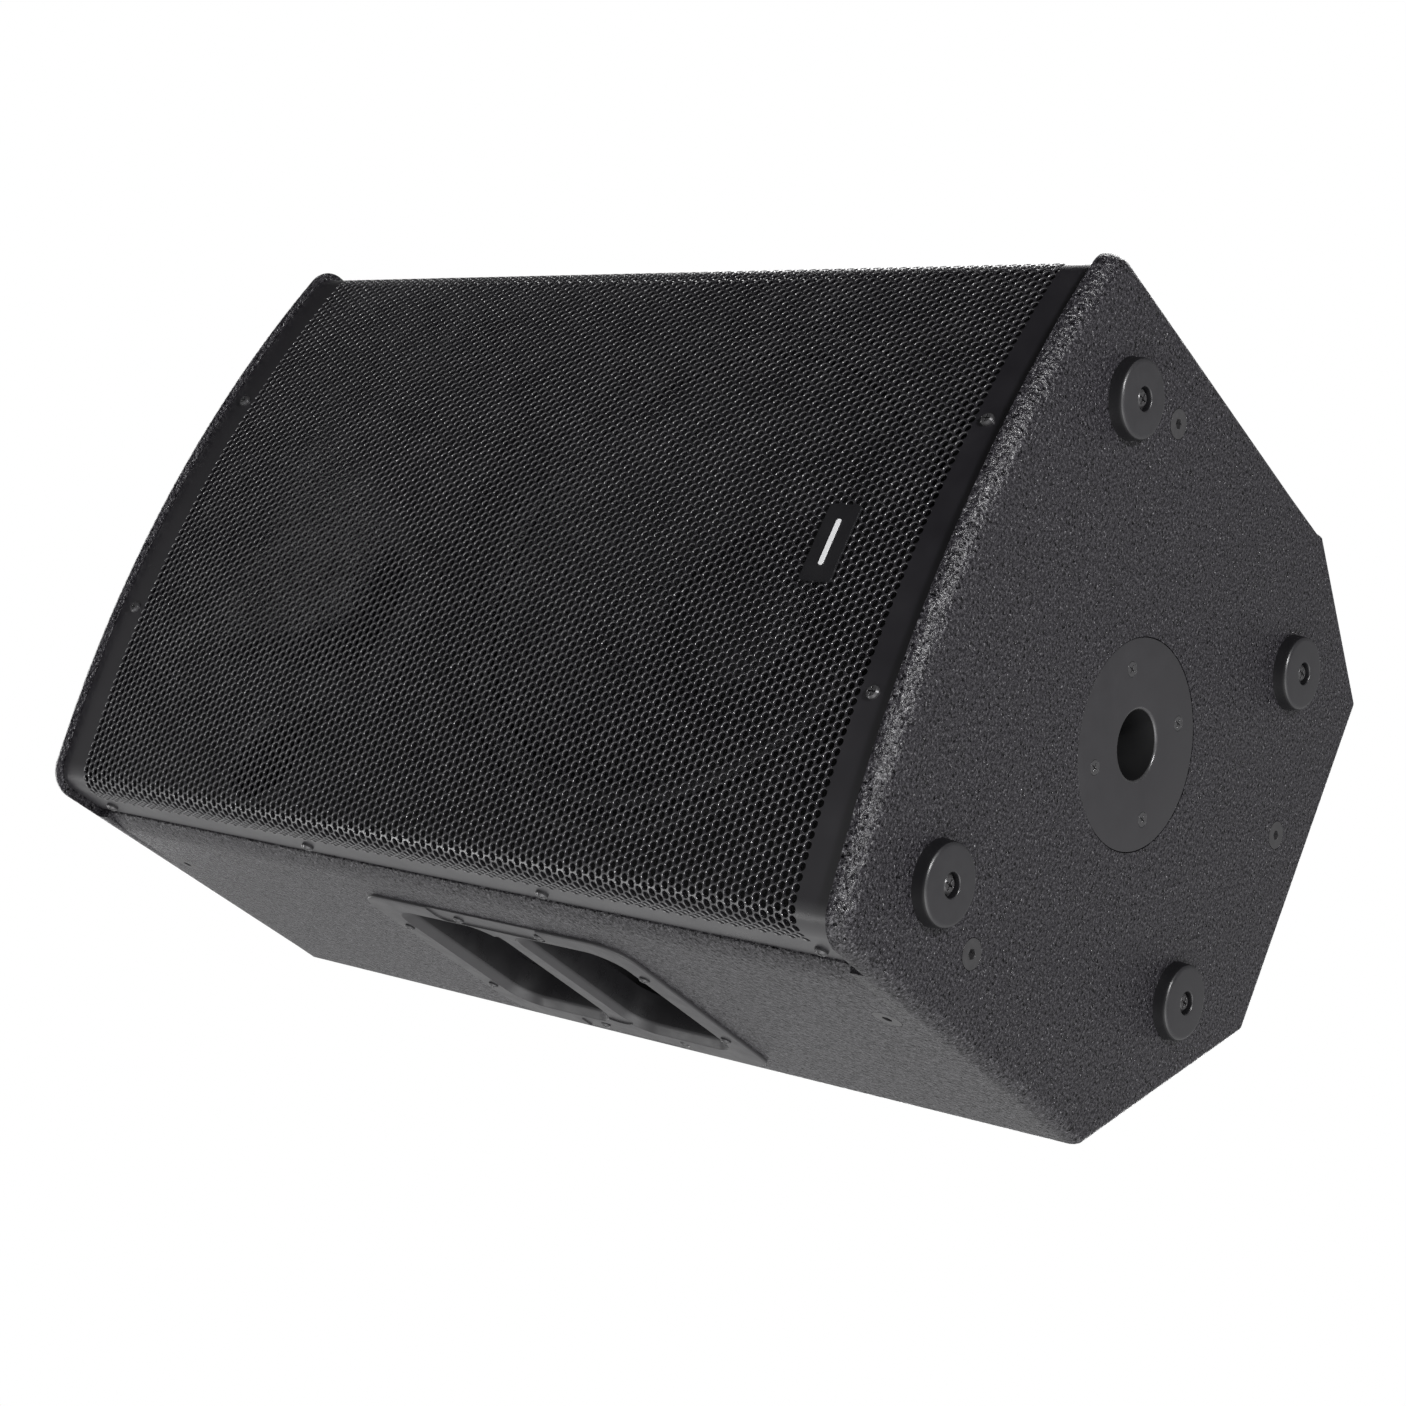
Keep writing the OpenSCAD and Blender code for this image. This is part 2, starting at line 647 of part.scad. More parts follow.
module woofer_screws() {
  color([0.25, 0.25, 0.26]) for (p = woofer_screw_xz)
    facing_front(p, baffle_y - 5.05) pan_screw(d = 5, length = 18, head_d = 9, head_h = 2.8);
}

// ---------- horn and compression driver ----------
throat_r = 12.7;
flare_y = -100;                       // where the mouth flare meets the throat flare
module horn_section(y, w, h, r) {
  facing_front(horn_xz, y) linear_extrude(0.02) rounded_rect(w, h, r);
}
module horn_throat(y, r) { facing_front(horn_xz, y) cylinder(r = r, h = 0.02, $fn = 32); }
module horn() {
  color([0.12, 0.12, 0.13]) difference() {
    union() {
      on_y(baffle_y, 5) translate(horn_xz) rounded_rect(horn_w, horn_h, 12);
      hull() {
        horn_section(baffle_y, horn_w - 26, horn_h - 28, 8);
        horn_section(flare_y, 104, 84, 16);
      }
      hull() {
        horn_section(flare_y, 104, 84, 16);
        horn_throat(-52, 17);
      }
      // flange for the compression driver
      on_y(-46.05, 6) translate(horn_xz) circle(r = 48, $fn = 64);
    }
    hull() {
      horn_section(baffle_y - 5.01, horn_w - 44, horn_h - 44, 10);
      horn_section(flare_y - 4, 94, 72, 14);
    }
    hull() {
      horn_section(flare_y - 4.01, 94, 72, 14);
      horn_throat(-60, throat_r);
    }
    facing_front(horn_xz, -40) cylinder(r = throat_r, h = 21, $fn = 32);
    bores(horn_screw_xz, baffle_y + 1, 8, d = 4.4);
    bores(hf_bolt_xz, -44, 10, d = 5.2);
  }
}
module horn_screws() {
  color([0.25, 0.25, 0.26]) for (p = horn_screw_xz)
    facing_front(p, baffle_y - 5.02) pan_screw(d = 4, length = 18, head_d = 8, head_h = 2.4);
}
// plate with a sleeve running back from it around the throat
module hf_front_plate() {
  color([0.6, 0.6, 0.62]) difference() {
    turn_y(horn_xz) union() {
      polygon([[throat_r, 38], [55, 38], [55, 46], [throat_r, 46]]);
      polygon([[throat_r, 13], [21.5, 13], [21.5, 38], [throat_r, 38]]);
    }
    bores(hf_bolt_xz, -37, 10, d = 5.1);
  }
}
module hf_magnet() {
  color([0.18, 0.18, 0.19]) turn_y(horn_xz)
    polygon([[30, 18.05], [54, 18.05], [55, 19], [55, 37.95], [30, 37.95]]);
}
module hf_rear_plate() {
  color([0.6, 0.6, 0.62]) turn_y(horn_xz) polygon([[23.4, 12], [55, 12], [55, 18], [23.4, 18]]);
}
module hf_rear_cover() {
  color([0.14, 0.14, 0.15]) turn_y(horn_xz) polygon([[49, 11.95], [54, 11.95], [54, -7],
    [50, -10], [0, -10], [0, -7], [47, -7], [49, -5]]);
}
// tapered plug held by three fins
module hf_phase_plug() {
  color([0.2, 0.2, 0.2]) {
    turn_y(horn_xz) polygon([[0, 13.5], [8, 13.5], [6, 24], [0, 32]]);
    for (k = [0:2]) translate([0, 0, horn_z]) rotate([0, 120 * k, 0])
      translate([-0.8, -23, 0]) cube([1.6, 9, 12.65]);
  }
}
// dome with its coil former
module hf_diaphragm() {
  color([0.7, 0.7, 0.72]) turn_y(horn_xz) union() {
    polygon(concat(
      dome(26, sweep = 58, centre = 21.5, count = 8, side = -1),
      reversed(dome(25.6, sweep = 58, centre = 21.5, count = 8, side = -1))));
    polygon([[21.8, 7], [24, 7], [24, 8], [22.4, 8], [22.4, 17], [22, 17], [22, 8], [21.8, 8]]);
  }
}
module hf_driver_bolts() {
  color([0.5, 0.5, 0.5]) for (p = hf_bolt_xz)
    facing_front(p, -52.1) pan_screw(d = 5, length = 13, head_d = 8.5, head_h = 3.5);
}
module port_tubes() {
  color([0.12, 0.12, 0.13]) for (side = [-1, 1]) turn_y([side * port_x, port_z], 64)
    polygon([[25, 62], [port_r, 62], [port_r, rim_f], [31, rim_f], [31, rim_f + 2],
      [29, rim_f + 3], [27, rim_f + 3], [25, rim_f]]);
}

// ---------- amplifier module ----------
knob_x = [for (k = [0:3]) amp_x - 48 + 32 * k];
knob_z = amp_z - 17;
button_xz = [knob_x[1], knob_z - 25];
led_xz = [for (x = [45, 55, 65]) [x, button_xz[1]]];
socket_xz = [for (k = [-1:1]) [amp_x + 44 * k, knob_z - 62]];
rocker_xz = [-9, knob_z - 122];
inlet_xz = [56, knob_z - 122];
sink_xz = amp_xz + [0, 75];           // centre of the heat sink and the transformer

module amp_plate() {
  color([0.15, 0.15, 0.16]) difference() {
    on_y(amp_out, amp_t) translate(amp_xz) rounded_rect(amp_w, amp_h, 5);
    on_y(amp_out + 1, 5) {
      for (x = knob_x) translate([x, knob_z]) circle(r = 3.6, $fn = 32);
      translate(button_xz) circle(r = 3.7, $fn = 32);
      for (p = led_xz) translate(p) circle(r = 1.6, $fn = 24);
      for (p = socket_xz) translate(p) circle(r = 12.1, $fn = 48);
      translate(rocker_xz) square([22.2, 28.2], center = true);
      translate(inlet_xz) square([28.2, 31.2], center = true);
      for (p = amp_screw_xz) translate(p) circle(d = 3.4, $fn = 24);
      translate(sink_xz) circle(d = 8.4, $fn = 32);
    }
  }
}
// base plate with 15 upright fins, cleared around the transformer's bolt
module amp_heat_sink() {
  color([0.12, 0.12, 0.13]) difference() {
    union() {
      on_y(amp_out + 3.5, 3.5) translate(sink_xz) rounded_rect(138, 142, 2);
      for (k = [0:14])
        translate([amp_x - 67.6 + k * 9.6, amp_out + 3.4, amp_z + 5]) cube([1.8, 8, 140]);
    }
    bores([sink_xz], amp_out + 20, 30, d = 17, fn = 32);
  }
}

// socket blank: front flange, and a round body through the plate
module socket_blank(xz) {
  on_y(amp_out + 2, 1.95) translate(xz) rounded_rect(26, 31, 3);
  on_y(amp_out + 0.1, 22) translate(xz) circle(r = 12, $fn = 48);
}
// input with a part-circle groove, a centre bore and three pin bores
module input_socket(xz) {
  difference() {
    socket_blank(xz);
    on_y(amp_out + 3, 20) translate(xz) difference() {
      circle(r = 9.4, $fn = 48);
      circle(r = 8.2, $fn = 48);
      translate([-10, -14]) square([20, 7]);
    }
    bores([xz], amp_out + 3, 20, d = 6.6, fn = 32);
    bores(ring(3, 6, 30, xz), amp_out + 3, 18, d = 2.4, fn = 16);
  }
}
// link output: an open well with three pins
module link_socket(xz) {
  difference() {
    socket_blank(xz);
    bores([xz], amp_out + 3, 14, d = 18, fn = 48);
  }
  bores(ring(3, 5, 30, xz), amp_out - 2, 12, d = 2.4, fn = 16);
}
// mains inlet with its three blades
module mains_inlet(xz) {
  difference() {
    union() {
      on_y(amp_out + 2, 1.95) translate(xz) rounded_rect(50, 33, 3);
      on_y(amp_out + 0.1, 24) translate(xz) square([28, 31], center = true);
    }
    on_y(amp_out + 3, 18) translate(xz)
      polygon([[-12, -8.5], [12, -8.5], [12, 4.5], [8, 8.5], [-8, 8.5], [-12, 4.5]]);
  }
  for (blade = [[-7, -2], [0, 2.5], [7, -2]])
    on_y(amp_out - 3, 14) translate(xz + blade) square([2, 5], center = true);
}
module switch_bezel(xz) {
  difference() {
    union() {
      on_y(amp_out + 1.6, 1.55) translate(xz) rounded_rect(25, 31, 2);
      on_y(amp_out + 0.1, 20) translate(xz) square([22, 28], center = true);
    }
    on_y(amp_out + 3, 19.5) translate(xz) square([19, 24.4], center = true);
  }
}
module amp_sockets() {
  color([0.1, 0.1, 0.1]) {
    for (i = [0, 1]) input_socket(socket_xz[i]);
    link_socket(socket_xz[2]);
    mains_inlet(inlet_xz);
    switch_bezel(rocker_xz);
  }
  // indicator lights
  color([0.3, 0.9, 0.3]) for (p = led_xz)
    facing_front(p, amp_out + 1.2) cylinder(r = 1.5, h = 7, $fn = 24);
}
module amp_boards() {
  board_t = 1.6;
  // control board, carried by the pots and switches
  color([0.1, 0.35, 0.15]) difference() {
    translate([amp_x - 62, amp_in - 16, knob_z - 36]) cube([124, board_t, 50]);
    for (p = led_xz) facing_front(p, amp_in) cylinder(r = 1.7, h = 30, $fn = 24);
  }
  color([0.6, 0.6, 0.62]) {
    // pots and the push switch
    for (x = knob_x) facing_front([x, knob_z], amp_in - 0.05) difference() {
      cylinder(r = 8, h = 14, $fn = 32);
      translate([0, 0, -1]) cylinder(r = 3.06, h = 11, $fn = 32);
    }
    translate([button_xz[0] - 4, amp_in - 14.3, button_xz[1] - 4]) cube([8, 8, 8]);
  }
  // power amplifier board, open around the transformer
  color([0.1, 0.35, 0.15]) translate([amp_x - 65, amp_in - 12, amp_z + 8]) difference() {
    cube([130, board_t, 140]);
    translate([65, -1, 67]) rotate([-90, 0, 0]) cylinder(d = 74, h = 5, $fn = 48);
  }
  // four large cylinders on its front face
  color([0.15, 0.15, 0.3]) for (p = corners(49, 44, amp_xz + [0, 74]))
    facing_front(p, amp_in - 12.05) cylinder(d = 25, h = 38, $fn = 32);
  // standoffs at its corners
  color([0.5, 0.5, 0.5]) for (p = corners(60, 65, amp_xz + [0, 78]))
    facing_front(p, amp_in - 0.05) cylinder(d = 6, h = 10.3, $fn = 24);
}
module amp_transformer() {
  // toroid
  color([0.75, 0.6, 0.2]) facing_front(sink_xz, amp_in) rotate_extrude($fn = 64)
    translate([0, 0.1])
      polygon([[10, 2], [12, 0], [32, 0], [35, 3], [35, 36], [32, 39], [12, 39], [10, 37]]);
  // clamp plate and its bolt through the amplifier plate
  color([0.5, 0.5, 0.5]) {
    facing_front(sink_xz, amp_in - 39.2) cylinder(d = 50, h = 2, $fn = 48);
    facing_front(sink_xz, amp_out + 6) cylinder(d = 8, h = 55, $fn = 32);
    facing_front(sink_xz, amp_out + 7.5) cylinder(d = 14, h = 7.4, $fn = 6);
  }
}
module amp_plate_screws() {
  color([0.25, 0.25, 0.26]) for (p = amp_screw_xz)
    facing_back(p, amp_out) pan_screw(d = 3, length = 13, head_d = 6.4, head_h = 2);
}
// fluted knob with a skirt, a pointer slot and its shaft
module knob(i) {
  color([0.13, 0.13, 0.14]) facing_back([knob_x[i], knob_z], amp_out) difference() {
    union() {
      translate([0, 0, -10]) cylinder(r = 3, h = 13, $fn = 32);
      translate([0, 0, 0.6]) cylinder(d = knob_d + 1, h = 1.4, $fn = 48);
      translate([0, 0, 2]) cylinder(d1 = knob_d - 1, d2 = knob_d - 3, h = 9, $fn = 48);
    }
    translate([-0.6, -knob_d, 10]) cube([1.2, knob_d - 1, 2]);
    for (angle = [15:30:345]) rotate([0, 0, angle])
      translate([knob_d / 2 + 0.4, 0, 2.6]) cylinder(r = 1.5, h = 9, $fn = 16);
  }
}
module knob_line_level() { knob(0); }
module knob_mic_level() { knob(1); }
module knob_bass() { knob(2); }
module knob_treble() { knob(3); }
// slice of a cylinder with two flats on the back, tilted about X
module power_rocker() {
  tilt = 7;
  color([0.1, 0.1, 0.1]) translate([rocker_xz[0], amp_out - 5, rocker_xz[1]])
    rotate([tilt, 0, 0]) difference() {
      rotate([0, 90, 0]) translate([0, 0, -9.2]) cylinder(r = 11.6, h = 18.4, $fn = 64);
      for (side = [-1, 1]) rotate([side * tilt, 0, 0])
        translate([-15, 8, side > 0 ? -0.2 : -20]) cube([30, 10, 20.2]);
      translate([-15, -20, -20]) cube([30, 14, 40]);
    }
}
module push_button() {
  color([0.1, 0.1, 0.1]) facing_front(button_xz, amp_out + 3) {
    cylinder(r = 3.6, h = 8, $fn = 32);
    translate([0, 0, -0.6]) cylinder(r1 = 3, r2 = 3.6, h = 0.61, $fn = 32);
  }
}

// ---------- wiring ----------
// cable through the points, as straight runs that overlap at the bends
module cable(points, d) {
  for (i = [0:len(points) - 2])
    let (run = points[i + 1] - points[i], length = norm(run))
      translate(points[i]) rotate([0, acos(run[2] / length), atan2(run[1], run[0])])
        translate([0, 0, -d * 0.3]) cylinder(d = d, h = length + d * 0.6, $fn = 10);
}
module speaker_wiring() {
  start_y = amp_in - 17;
  start_z = amp_z + 12;
  color([0.5, 0.1, 0.1]) {
    // to the woofer
    cable([[0, start_y, start_z], [60, 100, 300], [100, 0, woofer_z + 13],
      [97.5, -81.5, woofer_z]], d = 6);
    // to the compression driver
    cable([[14, start_y, start_z], [14, 100, 400], [14, 40, 440],
      [14, 13.2, horn_z - 10]], d = 5);
  }
}

bottom_panel();
top_panel();
side_panel_handle();
side_panel_plain();
wedge_panel_45();
wedge_panel_60();
back_panel();
front_baffle();
brace_shelf();
grille_rails();
amp_ledge_frame();
wadding();
grille();
grille_badge();
grille_screws();
side_handle();
handle_screws();
pole_socket();
pole_socket_screws();
foot_front_left();
foot_front_right();
foot_rear_left();
foot_rear_right();
foot_screws();
rigging_bolts();
rigging_nuts();
woofer_basket();
woofer_gasket();
woofer_top_plate();
woofer_magnet();
woofer_pole_yoke();
woofer_spider();
woofer_surround();
woofer_cone();
woofer_dust_cap();
woofer_voice_coil();
woofer_screws();
horn();
horn_screws();
hf_front_plate();
hf_magnet();
hf_rear_plate();
hf_rear_cover();
hf_phase_plug();
hf_diaphragm();
hf_driver_bolts();
port_tubes();
amp_plate();
amp_heat_sink();
amp_sockets();
amp_boards();
amp_transformer();
amp_plate_screws();
knob_line_level();
knob_mic_level();
knob_bass();
knob_treble();
power_rocker();
push_button();
speaker_wiring();
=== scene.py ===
"""A powered loudspeaker cabinet with a bowed front grille, a dished side handle and rubber feet.

Meshes are laid out in millimetres and scaled to metres when they are made.
The origin is on the underside, at the axis of the pole socket. -Y is the front (grille),
+Y the back (amplifier plate), -X the side with the handle, +Z up. The feet hang below z = 0.
"""

import bpy
import bmesh
import math
import numpy as np
from mathutils import Matrix, Vector


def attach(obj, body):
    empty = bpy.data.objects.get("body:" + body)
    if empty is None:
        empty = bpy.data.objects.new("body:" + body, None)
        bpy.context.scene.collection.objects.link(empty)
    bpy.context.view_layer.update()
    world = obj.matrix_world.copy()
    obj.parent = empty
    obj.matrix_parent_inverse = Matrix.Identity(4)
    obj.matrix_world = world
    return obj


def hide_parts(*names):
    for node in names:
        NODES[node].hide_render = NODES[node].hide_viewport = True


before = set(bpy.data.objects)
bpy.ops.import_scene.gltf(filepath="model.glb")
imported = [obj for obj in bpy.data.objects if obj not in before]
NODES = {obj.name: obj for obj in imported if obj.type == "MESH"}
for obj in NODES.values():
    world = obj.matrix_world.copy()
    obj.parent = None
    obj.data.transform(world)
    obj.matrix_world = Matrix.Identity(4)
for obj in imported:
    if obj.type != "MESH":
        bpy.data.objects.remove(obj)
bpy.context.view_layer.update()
SCENE = bpy.context.scene
SCENE.view_settings.view_transform = "Standard"
SCENE.view_settings.look = "None"

# ------------------------------------------------------------ dimensions, mm
HEIGHT = 603.0
HALF_W = 190.0
NOSE = 190.0            # reach of the bowed front in front of the origin
BOW_R = 821.0           # plan radius of the bowed front
BACK_Y = 196.0
END_T = 18.0            # top and bottom panels
WALL = 15.0

BOW_Y = BOW_R - NOSE    # centre of the bow, on x = 0
CORNER_R = 20.0         # plan corner between the bow and a side
CORNER_X = HALF_W - CORNER_R
CORNER_Y = BOW_Y - math.sqrt((BOW_R - CORNER_R) ** 2 - CORNER_X ** 2)
BOW_HALF = math.asin(CORNER_X / (BOW_R - CORNER_R))
CORNER_TURN = math.pi / 2 - BOW_HALF

# rear plan corners, anticlockwise from the right side
REAR_CORNERS = [(HALF_W, 100.0), (134.5, BACK_Y), (-74.0, BACK_Y), (-HALF_W, 80.0)]
# of each: plan radius, then outer edge radius of the end panels where it starts and ends
REAR_RADII = [(7.0, 8.0, 4.5), (4.0, 3.5, 3.0), (4.0, 3.0, 3.5), (8.0, 4.5, 8.0)]

FEET = {
    "foot_front_left": (-134.5, -113.0),
    "foot_front_right": (134.5, -113.0),
    "foot_rear_left": (-91.0, 117.0),
    "foot_rear_right": (110.0, 117.0),
}
RIG_XY = [(-150.0, -68.0), (150.0, -68.0), (30.0, 160.0)]  # top and bottom rigging points
RIG_SIDE_Y = -68.0
RIG_Z = [32.0, HEIGHT - 32.0]
HANDLE_Y, HANDLE_Z = -10.0, 292.0

# grille sheet: `path` is the length along its outer face in plan, 0 at the nose
GRILLE_INSET = 5.0
GRILLE_T = 1.5
GRILLE_R = BOW_R - GRILLE_INSET
GRILLE_CORNER_R = CORNER_R - GRILLE_INSET
PATH_BOW = GRILLE_R * BOW_HALF
PATH_BEND = PATH_BOW + GRILLE_CORNER_R * CORNER_TURN
PATH_END = PATH_BEND + (-127.4 - CORNER_Y)
LIP = 9.2               # height of an end panel's front edge left in front of the grille's end
GRILLE_LOW = LIP + 0.45
GRILLE_HIGH = HEIGHT - LIP - 0.45


# ------------------------------------------------------------ mesh helpers
def sharpen(mesh, angle=32):
    """smooth faces, with edges over the angle (degrees) kept sharp"""
    mesh.polygons.foreach_set("use_smooth", [True] * len(mesh.polygons))
    mesh.set_sharp_from_angle(angle=math.radians(angle))


def new_obj(name, verts, faces, material=None, flat=False):
    mesh = bpy.data.meshes.new(name)
    mesh.from_pydata([tuple(float(c) * 0.001 for c in v) for v in verts], [], faces)
    mesh.validate(clean_customdata=False)
    mesh.update()
    ob = bpy.data.objects.new(name, mesh)
    SCENE.collection.objects.link(ob)
    if not flat:
        sharpen(mesh)
    if material:
        mesh.materials.append(material)
    return ob


def clean(ob, weld=False, dissolve=False):
    """consistent normals, after an optional weld and removal of collapsed faces"""
    bm = bmesh.new()
    bm.from_mesh(ob.data)
    if weld:
        bmesh.ops.remove_doubles(bm, verts=bm.verts, dist=1e-7)
    if dissolve:
        bmesh.ops.dissolve_degenerate(bm, edges=bm.edges, dist=1e-7)
    bmesh.ops.recalc_face_normals(bm, faces=bm.faces)
    bm.to_mesh(ob.data)
    bm.free()
    ob.data.update()
    return ob


def loft(rings, caps=True):
    """verts and faces through closed rings of equal length, each a list of 3-D points"""
    n = len(rings[0])
    verts = [p for ring in rings for p in ring]
    faces = []
    for i in range(len(rings) - 1):
        for j in range(n):
            k = (j + 1) % n
            faces.append((i * n + j, i * n + k, (i + 1) * n + k, (i + 1) * n + j))
    if caps:
        faces.append(tuple(range(n - 1, -1, -1)))
        faces.append(tuple((len(rings) - 1) * n + j for j in range(n)))
    return verts, faces


def rounded_rect(w, h, r, steps=8):
    """rounded rectangle centred on 0, `steps` segments to a corner"""
    x, y = w / 2 - r, h / 2 - r
    points = []
    for cx, cy, start in ((x, y, 0), (-x, y, 90), (-x, -y, 180), (x, -y, 270)):
        for k in range(steps + 1):
            a = math.radians(start + 90 * k / steps)
            points.append((cx + r * math.cos(a), cy + r * math.sin(a)))
    return points


def lathe(name, profile, segments, centre, material):
    """profile of (radius, z) turned about the vertical through centre (x, y)"""
    rings = []
    for r, z in profile:
        ring = []
        for k in range(segments):
            a = 2 * math.pi * k / segments
            ring.append((centre[0] + r * math.cos(a), centre[1] + r * math.sin(a), z))
        rings.append(ring)
    return clean(new_obj(name, *loft(rings, caps=False), material), weld=True)


def prism(rings):
    """cutter lofted through rings"""
    return clean(new_obj("cutter", *loft(rings), flat=True))


def cone_cutter(start, run, r_start, r_end, segments):
    """round cutter from start along the vector run"""
    start, run = Vector(start), Vector(run)
    axis = run.normalized()
    x = axis.orthogonal().normalized()
    y = axis.cross(x)
    turns = [2 * math.pi * k / segments for k in range(segments)]
    return prism([
        [tuple(p + r * (math.cos(a) * x + math.sin(a) * y)) for a in turns]
        for p, r in ((start, r_start), (start + run, r_end))
    ])


def cut(ob, cutters, operation="DIFFERENCE"):
    """exact boolean of ob with each cutter, the result kept as plain mesh"""
    for cutter in cutters:
        mod = ob.modifiers.new("b", "BOOLEAN")
        mod.operation = operation
        mod.object = cutter
        mod.solver = "EXACT"
    graph = bpy.context.evaluated_depsgraph_get()
    bpy.context.view_layer.update()
    mesh = bpy.data.meshes.new_from_object(ob.evaluated_get(graph), depsgraph=graph)
    ob.modifiers.clear()
    old = ob.data
    ob.data = mesh
    bpy.data.meshes.remove(old)
    for cutter in cutters:
        bpy.data.objects.remove(cutter)


def finish_piece(ob, replaced=(), angle=32, material=None):
    """final shading and frame data; a material given here becomes the only one"""
    if material:
        ob.data.materials.clear()
        ob.data.materials.append(material)
        for p in ob.data.polygons:
            p.material_index = 0
    sharpen(ob.data, angle)
    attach(ob, "cabinet")
    if replaced:
        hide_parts(*replaced)


def add_material(ob, material, chosen):
    """one more material, on the faces for which chosen(face) holds"""
    ob.data.materials.append(material)
    index = len(ob.data.materials) - 1
    for p in ob.data.polygons:
        if chosen(p):
            p.material_index = index


# ------------------------------------------------------------ shader helpers
MATS = {}


def new_material(name):
    """material registered in MATS; returns its node tree and principled shader"""
    material = bpy.data.materials.new(name)
    MATS[name] = material
    material.use_nodes = True
    tree = material.node_tree
    tree.nodes.clear()
    output = tree.nodes.new("ShaderNodeOutputMaterial")
    shader = tree.nodes.new("ShaderNodeBsdfPrincipled")
    tree.links.new(shader.outputs[0], output.inputs[0])
    return tree, shader


def object_coords(tree, scale=(1, 1, 1)):
    coords = tree.nodes.new("ShaderNodeTexCoord")
    mapping = tree.nodes.new("ShaderNodeMapping")
    mapping.inputs["Scale"].default_value = scale
    tree.links.new(coords.outputs["Object"], mapping.inputs[0])
    return mapping.outputs[0]


def noise(tree, coords, scale, detail=2.0, roughness=0.5):
    node = tree.nodes.new("ShaderNodeTexNoise")
    node.inputs["Scale"].default_value = scale
    node.inputs["Detail"].default_value = detail
    node.inputs["Roughness"].default_value = roughness
    tree.links.new(coords, node.inputs["Vector"])
    return node.outputs["Fac"]


def voronoi(tree, coords, scale):
    node = tree.nodes.new("ShaderNodeTexVoronoi")
    node.inputs["Scale"].default_value = scale
    tree.links.new(coords, node.inputs["Vector"])
    return node.outputs["Distance"]


def ramp(tree, factor, stops):
    """stops: (position, RGB)"""
    node = tree.nodes.new("ShaderNodeValToRGB")
    elements = node.color_ramp.elements
    while len(elements) < len(stops):
        elements.new(0.5)
    for element, (position, color) in zip(elements, stops):
        element.position = position
        element.color = (*color, 1)
    tree.links.new(factor, node.inputs[0])
    return node.outputs[0]


def map_range(tree, value, source, target):
    """value taken from the (min, max) pair source to the pair target"""
    node = tree.nodes.new("ShaderNodeMapRange")
    for i, limit in enumerate((*source, *target), 1):
        node.inputs[i].default_value = limit
    tree.links.new(value, node.inputs[0])
    return node.outputs[0]


def math_node(tree, operation, a, b):
    node = tree.nodes.new("ShaderNodeMath")
    node.operation = operation
    for i, operand in enumerate((a, b)):
        if isinstance(operand, (int, float)):
            node.inputs[i].default_value = operand
        else:
            tree.links.new(operand, node.inputs[i])
    return node.outputs[0]


def weighted(tree, *terms, less):
    """sum of the (value, weight) terms, minus the term less"""
    total = None
    for value, weight in terms:
        part = math_node(tree, "MULTIPLY", value, weight)
        total = part if total is None else math_node(tree, "ADD", total, part)
    return math_node(tree, "SUBTRACT", total, math_node(tree, "MULTIPLY", *less))


def bump(tree, height, distance, normal=None):
    node = tree.nodes.new("ShaderNodeBump")
    node.inputs["Distance"].default_value = distance
    tree.links.new(height, node.inputs["Height"])
    if normal is not None:
        tree.links.new(normal, node.inputs["Normal"])
    return node.outputs[0]


# ------------------------------------------------------------ materials
def coating_material():
    """sprayed pebbled coat: lumps, fine grain, scattered pits, flecks, glossy crests; its colour
    carries painted light, pale on crests and flecks as painted glints and dark in pits as painted
    shade
    """
    tree, shader = new_material("coating")
    coords = object_coords(tree)
    lumps = noise(tree, coords, scale=300.0, detail=1.0, roughness=0.5)
    pebbles = noise(tree, coords, scale=640.0, detail=2.0, roughness=0.6)
    fine = noise(tree, coords, scale=1400.0, detail=2.0, roughness=0.6)
    # pits sink the bump and, as painted shade, darken the colour; flecks raise the bump and, as
    # painted glints, lighten it
    pit_and_shade = map_range(tree, voronoi(tree, coords, scale=270.0), (0.16, 0.27), (1.0, 0.0))
    fleck_and_glint = map_range(tree, voronoi(tree, coords, scale=360.0), (0.12, 0.22), (1.0, 0.0))
    height = weighted(
        tree, (pebbles, 1.0), (fine, 0.35), (fleck_and_glint, 0.35), (lumps, 2.2), less=(pit_and_shade, 0.90))
    # painted light: the colour tone rises and falls with the bumps, lighter on crests and flecks
    # as painted glints, darker in pits as painted shade
    tone = weighted(tree, (pebbles, 0.6), (fine, 0.4), (fleck_and_glint, 0.12), less=(pit_and_shade, 0.12))
    color = ramp(tree, tone, [
        (0.34, (0.0016, 0.0015, 0.0020)),
        (0.50, (0.0165, 0.0153, 0.0185)),
        (0.61, (0.044, 0.0418, 0.0478)),
        (0.72, (0.15, 0.146, 0.156)),
    ])
    roughness = map_range(tree, fine, (0.38, 0.62), (0.20, 0.46))
    specular = map_range(tree, tone, (0.38, 0.60), (0.15, 0.70))
    normal = bump(tree, height, distance=0.00062)
    tree.links.new(color, shader.inputs["Base Color"])
    tree.links.new(roughness, shader.inputs["Roughness"])
    tree.links.new(specular, shader.inputs["Specular IOR Level"])
    tree.links.new(normal, shader.inputs["Normal"])


